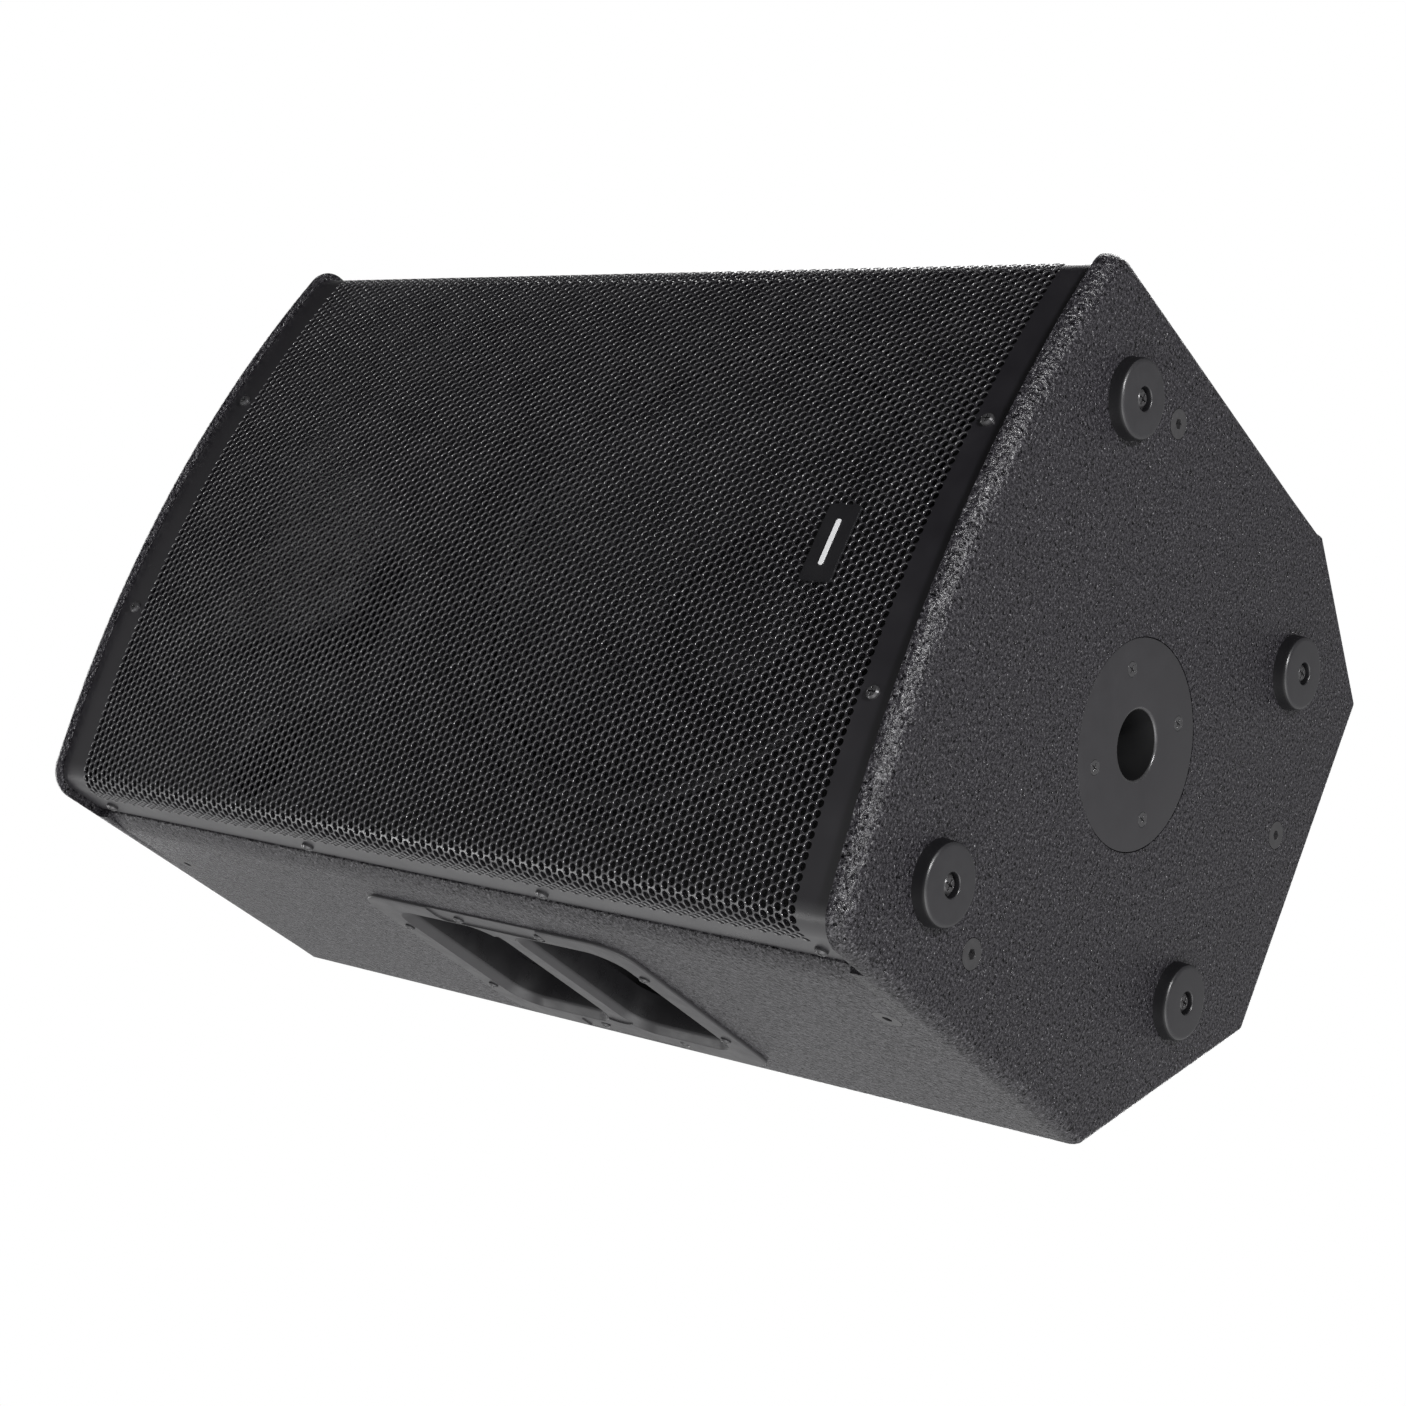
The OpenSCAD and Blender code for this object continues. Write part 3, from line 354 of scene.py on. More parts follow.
def simple(name, color, roughness, metallic=0.0, specular=0.5, ior=1.5, spread=0.12,
           tone_scale=60.0, grain=None, edge=0.0, stretch=(1, 1, 1)):
    """one RGB colour with slight variation in tone and gloss

    spread: relative variation of the colour; tone_scale: noise scale of the variation;
    grain: noise scale and depth (m) of a fine bump; edge: radius (m) of rounded-edge shading;
    stretch: scale of the texture along x, y, z
    """
    tree, shader = new_material(name)
    coords = object_coords(tree, stretch)
    tone = noise(tree, coords, tone_scale, detail=3.0)
    dark = tuple(c * (1 - spread) for c in color)
    light = tuple(c * (1 + spread) for c in color)
    tree.links.new(ramp(tree, tone, [(0.3, dark), (0.7, light)]), shader.inputs["Base Color"])
    gloss_spread = 0.06
    gloss = (roughness - gloss_spread, min(1, roughness + gloss_spread))
    tree.links.new(map_range(tree, tone, (0.3, 0.7), gloss), shader.inputs["Roughness"])
    shader.inputs["Metallic"].default_value = metallic
    shader.inputs["Specular IOR Level"].default_value = specular
    shader.inputs["IOR"].default_value = ior
    normal = None
    if edge:
        bevel = tree.nodes.new("ShaderNodeBevel")
        bevel.samples = 4
        bevel.inputs["Radius"].default_value = edge
        normal = bevel.outputs[0]
    if grain:
        scale, depth = grain
        normal = bump(tree, noise(tree, coords, scale), depth, normal)
    if normal is not None:
        tree.links.new(normal, shader.inputs["Normal"])


def plywood_material():
    """veneer, darkened to near black on the part towards the grille as painted shade behind the
    grille
    """
    tree, shader = new_material("plywood")
    coords = object_coords(tree, (3.0, 260.0, 22.0))
    grain = noise(tree, coords, scale=6.0, detail=5.0, roughness=0.6)
    wood = ramp(tree, grain, [(0.3, (0.23, 0.15, 0.08)), (0.7, (0.40, 0.28, 0.16))])
    place = tree.nodes.new("ShaderNodeTexCoord")
    split = tree.nodes.new("ShaderNodeSeparateXYZ")
    tree.links.new(place.outputs["Object"], split.inputs[0])
    # painted shade: from y = -133.3 mm forwards the veneer turns near black
    painted_shade_mask = map_range(tree, split.outputs[1], (-0.1335, -0.1330), (1.0, 0.0))
    mix = tree.nodes.new("ShaderNodeMix")
    mix.data_type = "RGBA"
    # of the colour mix: input 0 is the factor, 6 and 7 the colours, output 2 the result
    tree.links.new(painted_shade_mask, mix.inputs[0])
    tree.links.new(wood, mix.inputs[6])
    mix.inputs[7].default_value = (0.004, 0.004, 0.0043, 1)
    tree.links.new(mix.outputs[2], shader.inputs["Base Color"])
    roughness = map_range(tree, grain, (0.2, 0.8), (0.55, 0.75))
    tree.links.new(roughness, shader.inputs["Roughness"])
    tree.links.new(bump(tree, grain, distance=0.0001), shader.inputs["Normal"])


coating_material()
simple("grille_steel", (0.0112, 0.0103, 0.0130), roughness=0.33, specular=0.7, ior=1.75,
       spread=0.08, tone_scale=40, grain=(2500, 3e-5))
simple("badge", (0.008, 0.0077, 0.0092), roughness=0.5, spread=0.06, grain=(3000, 2e-5))
simple("badge_bar", (0.78, 0.78, 0.79), roughness=0.40, spread=0.03)
# painted shade: the handle's cup is a darker copy of its plastic, also glossier
simple("handle_cup_painted_shade", (0.016, 0.0156, 0.0170), roughness=0.30, specular=0.6, spread=0.06,
       tone_scale=90, grain=(2600, 3e-5))
simple("screw_grey", (0.075, 0.074, 0.077), roughness=0.28, metallic=0.5, spread=0.1,
       tone_scale=300, edge=0.0003)
# painted shade: the feet's side walls are a darker copy of the rubber
simple("foot_wall_painted_shade", (0.007, 0.0068, 0.0078), roughness=0.42, specular=0.25, spread=0.06)
simple("handle_plastic", (0.040, 0.039, 0.0415), roughness=0.40, specular=0.45, spread=0.06,
       tone_scale=90, grain=(2600, 4e-5), edge=0.0007)
simple("socket_plastic", (0.026, 0.0252, 0.0275), roughness=0.44, specular=0.4, spread=0.05,
       tone_scale=70, grain=(2600, 3e-5))
# painted shade: the inside of the socket bore is a near-black copy of its plastic
simple("socket_bore_painted_shade", (0.003, 0.003, 0.0034), roughness=0.6, specular=0.3, spread=0.05)
simple("foot_rubber", (0.024, 0.0234, 0.0255), roughness=0.36, spread=0.06,
       tone_scale=120, grain=(2200, 3e-5))
simple("screw_black", (0.040, 0.039, 0.041), roughness=0.30, metallic=0.6, spread=0.1,
       tone_scale=300, edge=0.00025)
simple("bolt_black", (0.050, 0.049, 0.051), roughness=0.36, metallic=0.3, spread=0.1,
       tone_scale=300, edge=0.0003)
simple("zinc_steel", (0.55, 0.55, 0.57), roughness=0.30, metallic=1.0, spread=0.06,
       tone_scale=200, stretch=(1, 4, 1))
simple("basket_metal", (0.010, 0.010, 0.011), roughness=0.50, spread=0.1, grain=(1500, 5e-5))
simple("gasket", (0.006, 0.006, 0.006), roughness=0.85, spread=0.25, tone_scale=500,
       grain=(1400, 1e-4))
simple("ferrite", (0.045, 0.045, 0.05), roughness=0.55, spread=0.15, tone_scale=300)
simple("spider_cloth", (0.50, 0.33, 0.10), roughness=0.75, tone_scale=900, grain=(2500, 1e-4))
simple("surround", (0.006, 0.006, 0.0065), roughness=0.50, spread=0.15, tone_scale=700,
       grain=(2200, 8e-5))
simple("cone_paper", (0.008, 0.008, 0.009), roughness=0.70, spread=0.25, tone_scale=380,
       grain=(900, 1.5e-4))
simple("dust_cap", (0.008, 0.008, 0.009), roughness=0.55, spread=0.2, tone_scale=500,
       grain=(1100, 1e-4))
simple("copper", (0.60, 0.25, 0.10), roughness=0.30, metallic=1.0, spread=0.15,
       tone_scale=40, stretch=(1, 60, 1))
simple("horn_plastic", (0.009, 0.009, 0.010), roughness=0.50, spread=0.08, tone_scale=80,
       grain=(2000, 3e-5))
simple("titanium", (0.60, 0.60, 0.62), roughness=0.28, metallic=1.0, spread=0.05)
simple("amp_metal", (0.016, 0.016, 0.018), roughness=0.46, spread=0.08, tone_scale=120,
       grain=(1900, 6e-5))
simple("plate_print", (0.62, 0.62, 0.62), roughness=0.55, spread=0.04)
simple("heat_sink", (0.018, 0.018, 0.020), roughness=0.36, metallic=0.5, spread=0.1,
       tone_scale=300, stretch=(1, 1, 0.05))
simple("socket_black", (0.013, 0.013, 0.014), roughness=0.30, spread=0.1)
simple("led_lens", (0.05, 0.35, 0.08), roughness=0.15, spread=0.1)
simple("contact_metal", (0.60, 0.56, 0.44), roughness=0.25, metallic=1.0, spread=0.05)
simple("circuit_board", (0.02, 0.11, 0.045), roughness=0.30, spread=0.3, tone_scale=220)
simple("capacitor_sleeve", (0.02, 0.02, 0.06), roughness=0.35, spread=0.1)
simple("transformer_tape", (0.60, 0.42, 0.10), roughness=0.35, spread=0.1, stretch=(1, 6, 1))
simple("knob", (0.016, 0.016, 0.017), roughness=0.55, spread=0.1, edge=0.0003)
simple("switch", (0.010, 0.010, 0.011), roughness=0.25, spread=0.1, edge=0.0004)
simple("cable", (0.30, 0.02, 0.02), roughness=0.45, spread=0.1)
simple("wadding", (0.62, 0.61, 0.58), roughness=0.95, tone_scale=160, grain=(420, 0.0012))
plywood_material()


# ------------------------------------------------------------ plan outline
def rear_corner(index, inset, front_y):
    """point inset from both walls of a rear corner, and their outward normals

    front_y: where the side walls start
    """
    path = [(HALF_W, front_y), *REAR_CORNERS, (-HALF_W, front_y)]
    before, corner, after = (Vector(p) for p in path[index:index + 3])
    u, v = (corner - before).normalized(), (after - corner).normalized()
    n1, n2 = Vector((u[1], -u[0])), Vector((v[1], -v[0]))
    return corner - inset * (n1 + n2) / (1 + n1.dot(n2)), n1, n2


def plan_outline():
    """outer plan outline, anticlockwise from the left end of the bow

    Each point: x, y, outward normal x, y, outer edge radius, inner lip radius.
    """
    bow_edge, side_edge, lip_r = 13.0, 9.0, 2.0
    bow_steps, corner_steps, rear_steps = 72, 12, 7
    points = []
    for k in range(bow_steps + 1):
        t = -BOW_HALF + 2 * BOW_HALF * k / bow_steps
        s, c = math.sin(t), math.cos(t)
        points.append((BOW_R * s, BOW_Y - BOW_R * c, s, -c, bow_edge, lip_r))

    right = []
    for k in range(1, corner_steps + 1):
        t = BOW_HALF + CORNER_TURN * k / corner_steps
        s, c = math.sin(t), math.cos(t)
        edge = bow_edge - (bow_edge - side_edge) * k / corner_steps
        right.append((CORNER_X + CORNER_R * s, CORNER_Y - CORNER_R * c, s, -c, edge, lip_r))
    # y and lip radius along the straight side
    for y, lip in ((-140.0, lip_r), (-130.0, lip_r), (-126.0, 1.0), (-124.5, 0.0),
                   (-60.0, 0.0), (0.0, 0.0), (60.0, 0.0)):
        right.append((HALF_W, y, 1.0, 0.0, side_edge, lip))
    points += right

    for i, (r, edge_in, edge_out) in enumerate(REAR_RADII):
        centre, n1, n2 = rear_corner(i, r, CORNER_Y)
        start = math.atan2(n1[1], n1[0])
        turn = math.acos(max(-1, min(1, n1.dot(n2))))
        for k in range(rear_steps + 1):
            a = start + turn * k / rear_steps
            c, s = math.cos(a), math.sin(a)
            edge = edge_in + (edge_out - edge_in) * k / rear_steps
            points.append((centre[0] + r * c, centre[1] + r * s, c, s, edge, 0.0))
        if i < len(REAR_RADII) - 1:
            here, there = Vector(REAR_CORNERS[i]), Vector(REAR_CORNERS[i + 1])
            for f in (0.33, 0.67):
                q = here + (there - here) * f
                edge = edge_out + (REAR_RADII[i + 1][1] - edge_out) * f
                points.append((q[0], q[1], n2[0], n2[1], edge, 0.0))

    points += [(-x, y, -nx, ny, edge, lip) for x, y, nx, ny, edge, lip in reversed(right)]
    return points


PLAN = plan_outline()


def grille_xy(path, depth):
    """x, y of path lengths at depths behind the grille's outer face"""
    path, depth = np.asarray(path, float), np.asarray(depth, float)
    length = np.abs(path)
    t = length / GRILLE_R
    r = GRILLE_R - depth
    bow_x, bow_y = r * np.sin(t), BOW_Y - r * np.cos(t)
    u = BOW_HALF + (length - PATH_BOW) / GRILLE_CORNER_R
    r = GRILLE_CORNER_R - depth
    bend_x, bend_y = CORNER_X + r * np.sin(u), CORNER_Y - r * np.cos(u)
    side_x = CORNER_X + GRILLE_CORNER_R - depth + 0 * length
    side_y = CORNER_Y + (length - PATH_BEND)
    on_bow, on_bend = length < PATH_BOW, length < PATH_BEND
    x = np.where(on_bow, bow_x, np.where(on_bend, bend_x, side_x))
    y = np.where(on_bow, bow_y, np.where(on_bend, bend_y, side_y))
    return x * np.sign(path), y


# ------------------------------------------------------------ coated shell
def slab(name, top):
    """end panel with rounded outer edge; the lower one, or turned over for the top"""
    rings = []
    edge_steps, lip_steps = 9, 3
    for k in range(edge_steps + 1):
        a = math.radians(90.0 * k / edge_steps)
        inset, rise = 1 - math.sin(a), 1 - math.cos(a)
        rings.append([(x - nx * r * inset, y - ny * r * inset, r * rise)
                      for x, y, nx, ny, r, _ in PLAN])
    for k in range(lip_steps + 1):
        a = math.radians(90.0 / lip_steps * k)
        inset, drop = 1 - math.cos(a), 1 - math.sin(a)
        rings.append([(x - nx * r * inset, y - ny * r * inset, END_T - r * drop)
                      for x, y, nx, ny, _, r in PLAN])
    if top:
        rings = [[(x, y, HEIGHT - z) for x, y, z in ring] for ring in rings]
    ob = new_obj(name, *loft(rings), MATS["coating"])
    return clean(ob, weld=True, dissolve=True)


def lip_cutter(z0, z1):
    """clears the inner part of an end panel's front edge for the grille's plain end strip"""
    end = PATH_END + 0.8
    path = np.concatenate([
        np.linspace(-end, -PATH_BEND, 6),
        np.linspace(-PATH_BEND, -PATH_BOW, 9)[1:],
        np.linspace(-PATH_BOW, PATH_BOW, 49)[1:-1],
        np.linspace(PATH_BOW, PATH_BEND, 9),
        np.linspace(PATH_BEND, end, 6)[1:],
    ])
    outer = list(zip(*grille_xy(path, -9.0)))
    inner = list(zip(*grille_xy(path, GRILLE_T + 0.8)))
    return prism([[(x, y, z) for x, y in outer + inner[::-1]] for z in (z0, z1)])


def rig_cutters(face_point, inward):
    """countersink and through hole of a rigging point"""
    point, inward = Vector(face_point), Vector(inward)
    return [
        cone_cutter(point - inward * 0.5, inward * 3.8, 8.6, 5.2, 40),
        cone_cutter(point + inward * 2.5, inward * 20, 5.7, 5.7, 24),
    ]


def handle_ring(x, w, h, r, y=HANDLE_Y, z=HANDLE_Z, steps=10):
    """rounded rectangle in the handle side, x inwards from its face, w along z and h along y"""
    return [(-HALF_W + x, y + b, z + a) for a, b in rounded_rect(w, h, r, steps)]


def build_bottom():
    bottom = slab("shell_bottom", False)
    cutters = [
        cone_cutter((0, 0, -1), (0, 0, 4.0), 55.4, 55.4, 128),   # seat of the socket flange
        cone_cutter((0, 0, 2.5), (0, 0, 20), 22.0, 22.0, 48),    # hole for the socket tube
    ]
    for x, y in RIG_XY:
        cutters += rig_cutters((x, y, 0), (0, 0, 1))
    for x, y in FEET.values():
        cutters.append(cone_cutter((x, y, -1), (0, 0, 17), 2.1, 2.1, 16))
    cutters.append(lip_cutter(LIP, END_T + 4))
    cut(bottom, cutters)
    finish_piece(bottom, ["bottom_panel"], material=MATS["coating"])


def build_top():
    top = slab("shell_top", True)
    cutters = []
    for x, y in RIG_XY:
        cutters += rig_cutters((x, y, HEIGHT), (0, 0, -1))
    cutters.append(lip_cutter(HEIGHT - END_T - 4, HEIGHT - LIP))
    cut(top, cutters)
    finish_piece(top, ["top_panel"], material=MATS["coating"])


def build_walls():
    """one wall loop: outer skin from right front round the back to left front, then inner skin"""
    front_y = -150.0
    grille_back = GRILLE_INSET + GRILLE_T
    # front edge of a side wall: inset from the outer face, y
    front_edge = [
        (WALL, -132.0), (WALL, front_y), (grille_back, front_y), (grille_back, -126.6),
        (4.4, -126.6), (3.9, -126.3), (3.2, -125.2), (2.2, -122.6), (1.2, -119.0),
        (0.4, -114.4), (0.0, -109.0),
    ]
    right = [(HALF_W - inset, y) for inset, y in front_edge]
    left = [(-x, y) for x, y in reversed(right)]
    outer = [(x, y) for x, y, *_ in PLAN if y > -122.0]
    inner = [tuple(rear_corner(i, WALL, front_y)[0]) for i in (3, 2, 1, 0)]
    loop = right + outer + left + inner
    rings = [[(x, y, z) for x, y in loop] for z in (END_T, HEIGHT - END_T)]
    walls = clean(new_obj("shell_walls", *loft(rings), MATS["coating"]))

    cutters = [prism([handle_ring(x, 179.0, 136.0, 14, steps=8) for x in (-3, 20)])]
    amp_opening = rounded_rect(161.0, 331.0, 5.5, 5)
    cutters.append(prism([[(29 + a, y, 330 + b) for a, b in amp_opening]
                          for y in (BACK_Y + 3, BACK_Y - 25)]))
    for side in (-1, 1):
        for z in RIG_Z:
            cutters += rig_cutters((side * HALF_W, RIG_SIDE_Y, z), (-side, 0, 0))
    cut(walls, cutters)
    panels = ["side_panel_handle", "side_panel_plain", "wedge_panel_45", "wedge_panel_60",
              "back_panel"]
    finish_piece(walls, panels, material=MATS["coating"])


# ------------------------------------------------------------ perforated grille
HOLE_R = 2.0
RIM = ((2.31, 0.0), (2.19, 0.10), (2.08, 0.27), (HOLE_R, 0.64))  # rounded rim: radius, depth
PITCH = 5.0                     # between holes of a row
ROWS, ROW_LOW = 126, 32.2
ROW_PITCH = (HEIGHT - 2 * ROW_LOW) / (ROWS - 1)
BANDS = 9                       # the sheet is built in bands of whole rows
BAND_ROWS = ROWS // BANDS
HOLES_ASIDE = 40                # holes to each side of the nose
MARGIN_PATH = 205.0             # first margin line beyond the holes


def band_cells(band):
    """path, height and depth of the points of a band's hexagonal cells, and their quads"""
    path, height = [], []
    for row in range(band * BAND_ROWS, (band + 1) * BAND_ROWS):
        if row % 2 == 0:
            places = np.arange(-HOLES_ASIDE, HOLES_ASIDE + 1) * PITCH
        else:
            places = np.arange(-HOLES_ASIDE, HOLES_ASIDE) * PITCH + PITCH / 2
        path.append(places)
        height.append(np.full(len(places), ROW_LOW + ROW_PITCH * row))
    path, height = np.concatenate(path)[:, None], np.concatenate(height)[:, None]

    # twelve points of a cell: edge middles at 0, 60.. and corners at 30, 90..
    angles = np.radians(30.0 * np.arange(12))
    half = PITCH / 2
    reach = np.array([half, half / math.cos(math.pi / 6)] * 6)
    hex_s = reach * np.cos(angles)
    hex_z = reach * np.sin(angles) * (ROW_PITCH / (PITCH * math.sqrt(3) / 2))
    # rings from the front hexagon down the rim and through the hole to the back hexagon
    rings = [(hex_s, hex_z, 0.0)]
    rings += [(r * np.cos(angles), r * np.sin(angles), d) for r, d in (*RIM, (HOLE_R, GRILLE_T))]
    rings += [(hex_s, hex_z, GRILLE_T)]
    level = len(path) * 12
    S = np.concatenate([(path + ds).ravel() for ds, _, _ in rings])
    Z = np.concatenate([(height + dz).ravel() for _, dz, _ in rings])
    D = np.concatenate([np.full(level, d) for _, _, d in rings])
    index = np.arange(level).reshape(-1, 12)
    after = np.roll(index, -1, axis=1)
    quads = np.concatenate([
        np.stack([index + k * level, after + k * level,
                  after + (k + 1) * level, index + (k + 1) * level], -1).reshape(-1, 4)
        for k in range(len(rings) - 1)
    ])

    # weld the shared hexagon points, which lie on a lattice
    shared = np.zeros(len(S), bool)
    shared[:level] = True
    shared[-level:] = True
    key = np.stack([
        np.where(shared, np.rint(S / (PITCH / 4)), 10 ** 6 + np.arange(len(S))),
        np.where(shared, np.rint((Z - ROW_LOW) / (ROW_PITCH / 6)), 0),
        np.where(shared, np.rint(D * 10), 0),
    ], -1).astype(np.int64)
    _, first, inverse = np.unique(key, axis=0, return_index=True, return_inverse=True)
    return S[first], Z[first], D[first], inverse.ravel()[quads]


def boundary_neighbours(quads):
    """neighbours of each point along the edges that only one quad uses"""
    edges = np.concatenate([quads[:, pair] for pair in ([0, 1], [1, 2], [2, 3], [3, 0])])
    unique, count = np.unique(np.sort(edges, axis=1), axis=0, return_counts=True)
    neighbours = {}
    for a, b in unique[count == 1]:
        neighbours.setdefault(a, []).append(b)
        neighbours.setdefault(b, []).append(a)
    return neighbours


def walk_boundary(neighbours, S, Z, D, depth):
    """the closed boundary of the lattice on one face, from its lowest point"""
    on_face = [i for i in neighbours if abs(D[i] - depth) < 1e-6]
    start = min(on_face, key=lambda i: (Z[i], S[i]))
    walk, previous = [start], start
    current = max(neighbours[start], key=lambda i: S[i])
    while current != start:
        walk.append(current)
        options = [i for i in neighbours[current] if i != previous]
        previous, current = current, options[0]
    return walk


def add_margins(verts, faces, walk, depth, ends):
    """plain margins of one face, out from the lattice boundary to the sheet's straight edges

    ends: the (name, z) of the sheet's ends in this band.
    Returns the new points, keyed by rounded (path, z).
    """
    place = [tuple(verts[i][:2]) for i in walk]
    made = {}

    def put(s, z):
        key = (round(s, 3), round(z, 3))
        if key not in made:
            made[key] = len(verts)
            verts.append([s, z, depth])
        return made[key]

    def add_face(quad):
        faces.append(tuple(quad if depth == 0.0 else reversed(quad)))

    def strip(run, target):
        for a, b in zip(run[:-1], run[1:]):
            add_face([walk[a], target(a), target(b), walk[b]])

    def extreme(ds, dz):
        return max(range(len(walk)), key=lambda i: ds * place[i][0] + dz * place[i][1])

    def arc(i, j):
        run = [i]
        while i != j:
            i = (i + 1) % len(walk)
            run.append(i)
        return run

    low_right, high_right = extreme(1, -3), extreme(1, 1)
    high_left, low_left = extreme(-1, 1), extreme(-1, -3)
    sides = ((arc(low_right, high_right), 1), (arc(high_left, low_left), -1))
    for run, side in sides:
        strip(run, lambda i: put(side * MARGIN_PATH, place[i][1]))
    for run, side in sides:
        near, far = side * MARGIN_PATH, side * PATH_END
        for a, b in zip(run[:-1], run[1:]):
            za, zb = place[a][1], place[b][1]
            add_face([put(near, za), put(far, za), put(far, zb), put(near, zb)])

    end_runs = {
        "bottom": (arc(low_left, low_right), -1),
        "top": (arc(high_right, high_left), 1),
    }
    for name, end_z in ends:
        run, first_side = end_runs[name]
        strip(run, lambda i: put(place[i][0], end_z))
        # corners of the sheet
        for i, side in ((run[0], first_side), (run[-1], -first_side)):
            s, z = place[i]
            near, far = side * MARGIN_PATH, side * PATH_END
            faces.append((walk[i], put(s, end_z), put(near, end_z), put(near, z)))
            faces.append((put(near, z), put(near, end_z), put(far, end_z), put(far, z)))
    return made


def face_outwards(mesh):
    """consistent normals, the outer face looking out of the cabinet"""
    bm = bmesh.new()
    bm.from_mesh(mesh)
    bmesh.ops.recalc_face_normals(bm, faces=bm.faces)
    # the largest face is in a margin on one of the straight sides
    largest = max(bm.faces, key=lambda f: f.calc_area())
    x = largest.calc_center_median().x
    on_front = abs(x) > (HALF_W - GRILLE_INSET - GRILLE_T / 2) * 0.001
    if (largest.normal.x * x > 0) != on_front:
        bmesh.ops.reverse_faces(bm, faces=bm.faces)
    bm.to_mesh(mesh)
    bm.free()


def build_grille():
    for band in range(BANDS):
        S, Z, D, quads = band_cells(band)
        neighbours = boundary_neighbours(quads)
        verts = [list(v) for v in zip(S, Z, D)]
        faces = [tuple(q) for q in quads.tolist()]
        ends = []
        if band == 0:
            ends.append(("bottom", GRILLE_LOW))
        if band == BANDS - 1:
            ends.append(("top", GRILLE_HIGH))
        front, back = (
            add_margins(verts, faces, walk_boundary(neighbours, S, Z, D, depth), depth, ends)
            for depth in (0.0, GRILLE_T)
        )
        # rim between the two faces, along the outer edges: key column and its value
        edges = [(0, round(-PATH_END, 3)), (0, round(PATH_END, 3))]
        edges += [(1, round(z, 3)) for _, z in ends]
        for column, value in edges:
            keys = sorted(k for k in front if k[column] == value)
            for a, b in zip(keys[:-1], keys[1:]):
                faces.append((front[a], front[b], back[b], back[a]))
        S, Z, D = np.array(verts).T
        points = np.stack([*grille_xy(S, D), Z], -1)
        ob = new_obj("grille_band_%d" % (band + 1), points, faces, MATS["grille_steel"], flat=True)
        face_outwards(ob.data)
        finish_piece(ob, ["grille"], angle=31)


# ------------------------------------------------------------ side handle
def build_handle():
    """dish in the -X side: a rimmed plate, and a cup crossed by a bar. x runs inwards."""
    plate_w, plate_h, plate_r = 203.0, 160.0, 20
    face, edge_r = -0.9, 1.1
    rings = [handle_ring(x, plate_w, plate_h, plate_r) for x in (0.6, face)]
    for k in range(1, 6):
        a = math.radians(18 * k)
        o = edge_r * (1 - math.cos(a))
        rings.append(handle_ring(
            face - edge_r * math.sin(a), plate_w - 2 * o, plate_h - 2 * o, plate_r - o))
    plate = clean(new_obj("handle_dish", *loft(rings), MATS["handle_plastic"]))

    # outside of the cup: x, width, height, corner radius
    cup = [(0.2, 178.5, 135.5, 13), (34, 177.5, 134.5, 13), (42, 173, 130, 13), (46, 164, 121, 12)]
    cut(plate, [prism([handle_ring(*station) for station in cup])], "UNION")

    # common cavity behind the bar, with a rounded floor
    cavity_w, floor_w, floor_h, floor_r, round_r = 164.0, 161.5, 120.5, 15.5, 9.0
    cavity = [handle_ring(19, cavity_w, 122, 16), handle_ring(34, floor_w, floor_h, floor_r)]
    for k in range(1, 7):
        a = math.radians(15 * k)
        o = round_r * (1 - math.cos(a))
        cavity.append(handle_ring(34.5 + round_r * math.sin(a), floor_w - 2 * o,
                                  floor_h - 2 * o, floor_r - o * 0.7))
    cutters = [prism(cavity)]

    # an opening on each side of the bar, flared at the mouth: x, widening
    flare = ((-3.5, 4.6), (-1.9, 3.7), (-1.2, 3.2), (1.8, 0.8), (2.6, 0.35), (3.6, 0.0),
             (19.5, -0.2))
    bar = 18.0
    opening = (cavity_w - bar) / 2
    for side in (-1, 1):
        z = HANDLE_Z + side * (bar / 2 + opening / 2)
        cutters.append(prism([
            handle_ring(x, opening + 2 * o, 121 + 2 * o, 15 + o, HANDLE_Y - 1.0, z)
            for x, o in flare
        ]))
    # the bar and the middle of the rim sit lower than the plate's outer face
    cutters.append(prism([handle_ring(x, 34.0, 116.0, 16.0) for x in (-4.0, face)]))
    for side in (-1, 1):
        cutters.append(prism([
            handle_ring(x, 84.0, 40.0, 5.5, y=HANDLE_Y + side * 86.0, steps=6)
            for x in (-4.0, -1.0)
        ]))
    cut(plate, cutters)
    finish_piece(plate, ["side_handle"], angle=26,
                 material=MATS["handle_plastic"])
    # faces more than 3.4 mm in from the side take the darker cup material, painted shade in the
    # recess
    add_material(plate, MATS["handle_cup_painted_shade"], lambda p: p.center.x * 1000 > -HALF_W + 3.4)


# ------------------------------------------------------------ pole socket, feet
def build_socket():
    bore_r, tube_r = 18.25, 21.5
    # radius, z: from the top of the bore down, over the flange and up the outside
    profile = [
        (bore_r, 85), (bore_r, 1.3), (18.45, 0.72), (18.9, 0.3), (19.5, 0.05), (20.0, 0.0),
        (54.3, 0.0), (54.75, 0.12), (54.95, 0.45), (55.0, 1.0), (55.0, 3.0),
        (tube_r, 3.0), (tube_r, 88), (0, 88), (0, 85), (bore_r, 85),
    ]
    ob = lathe("pole_socket_cup", profile, 144, (0, 0), MATS["socket_plastic"])
    screw_at = 28.3
    cutters = []
    for x in (-screw_at, screw_at):
        for y in (-screw_at, screw_at):
            cutters.append(cone_cutter((x, y, -0.5), (0, 0, 3.1), 4.55, 2.2, 32))
            cutters.append(cone_cutter((x, y, 1), (0, 0, 5), 2.1, 2.1, 20))
    cut(ob, cutters)
    finish_piece(ob, ["pole_socket"], angle=30, material=MATS["socket_plastic"])

    def in_bore(p):
        c = p.center * 1000
        return math.hypot(c.x, c.y) < 18.6 and c.z > 1.35

    def on_mouth(p):
        """the slanting faces round the mouth of the bore"""
        c = p.center * 1000
        return math.hypot(c.x, c.y) < 19.8 and 0.3 < abs(p.normal.z) < 0.95

    # faces inside the bore take the near-black material, painted shade in the deep hole
    add_material(ob, MATS["socket_bore_painted_shade"], in_bore)
    add_material(ob, MATS["screw_grey"], on_mouth)


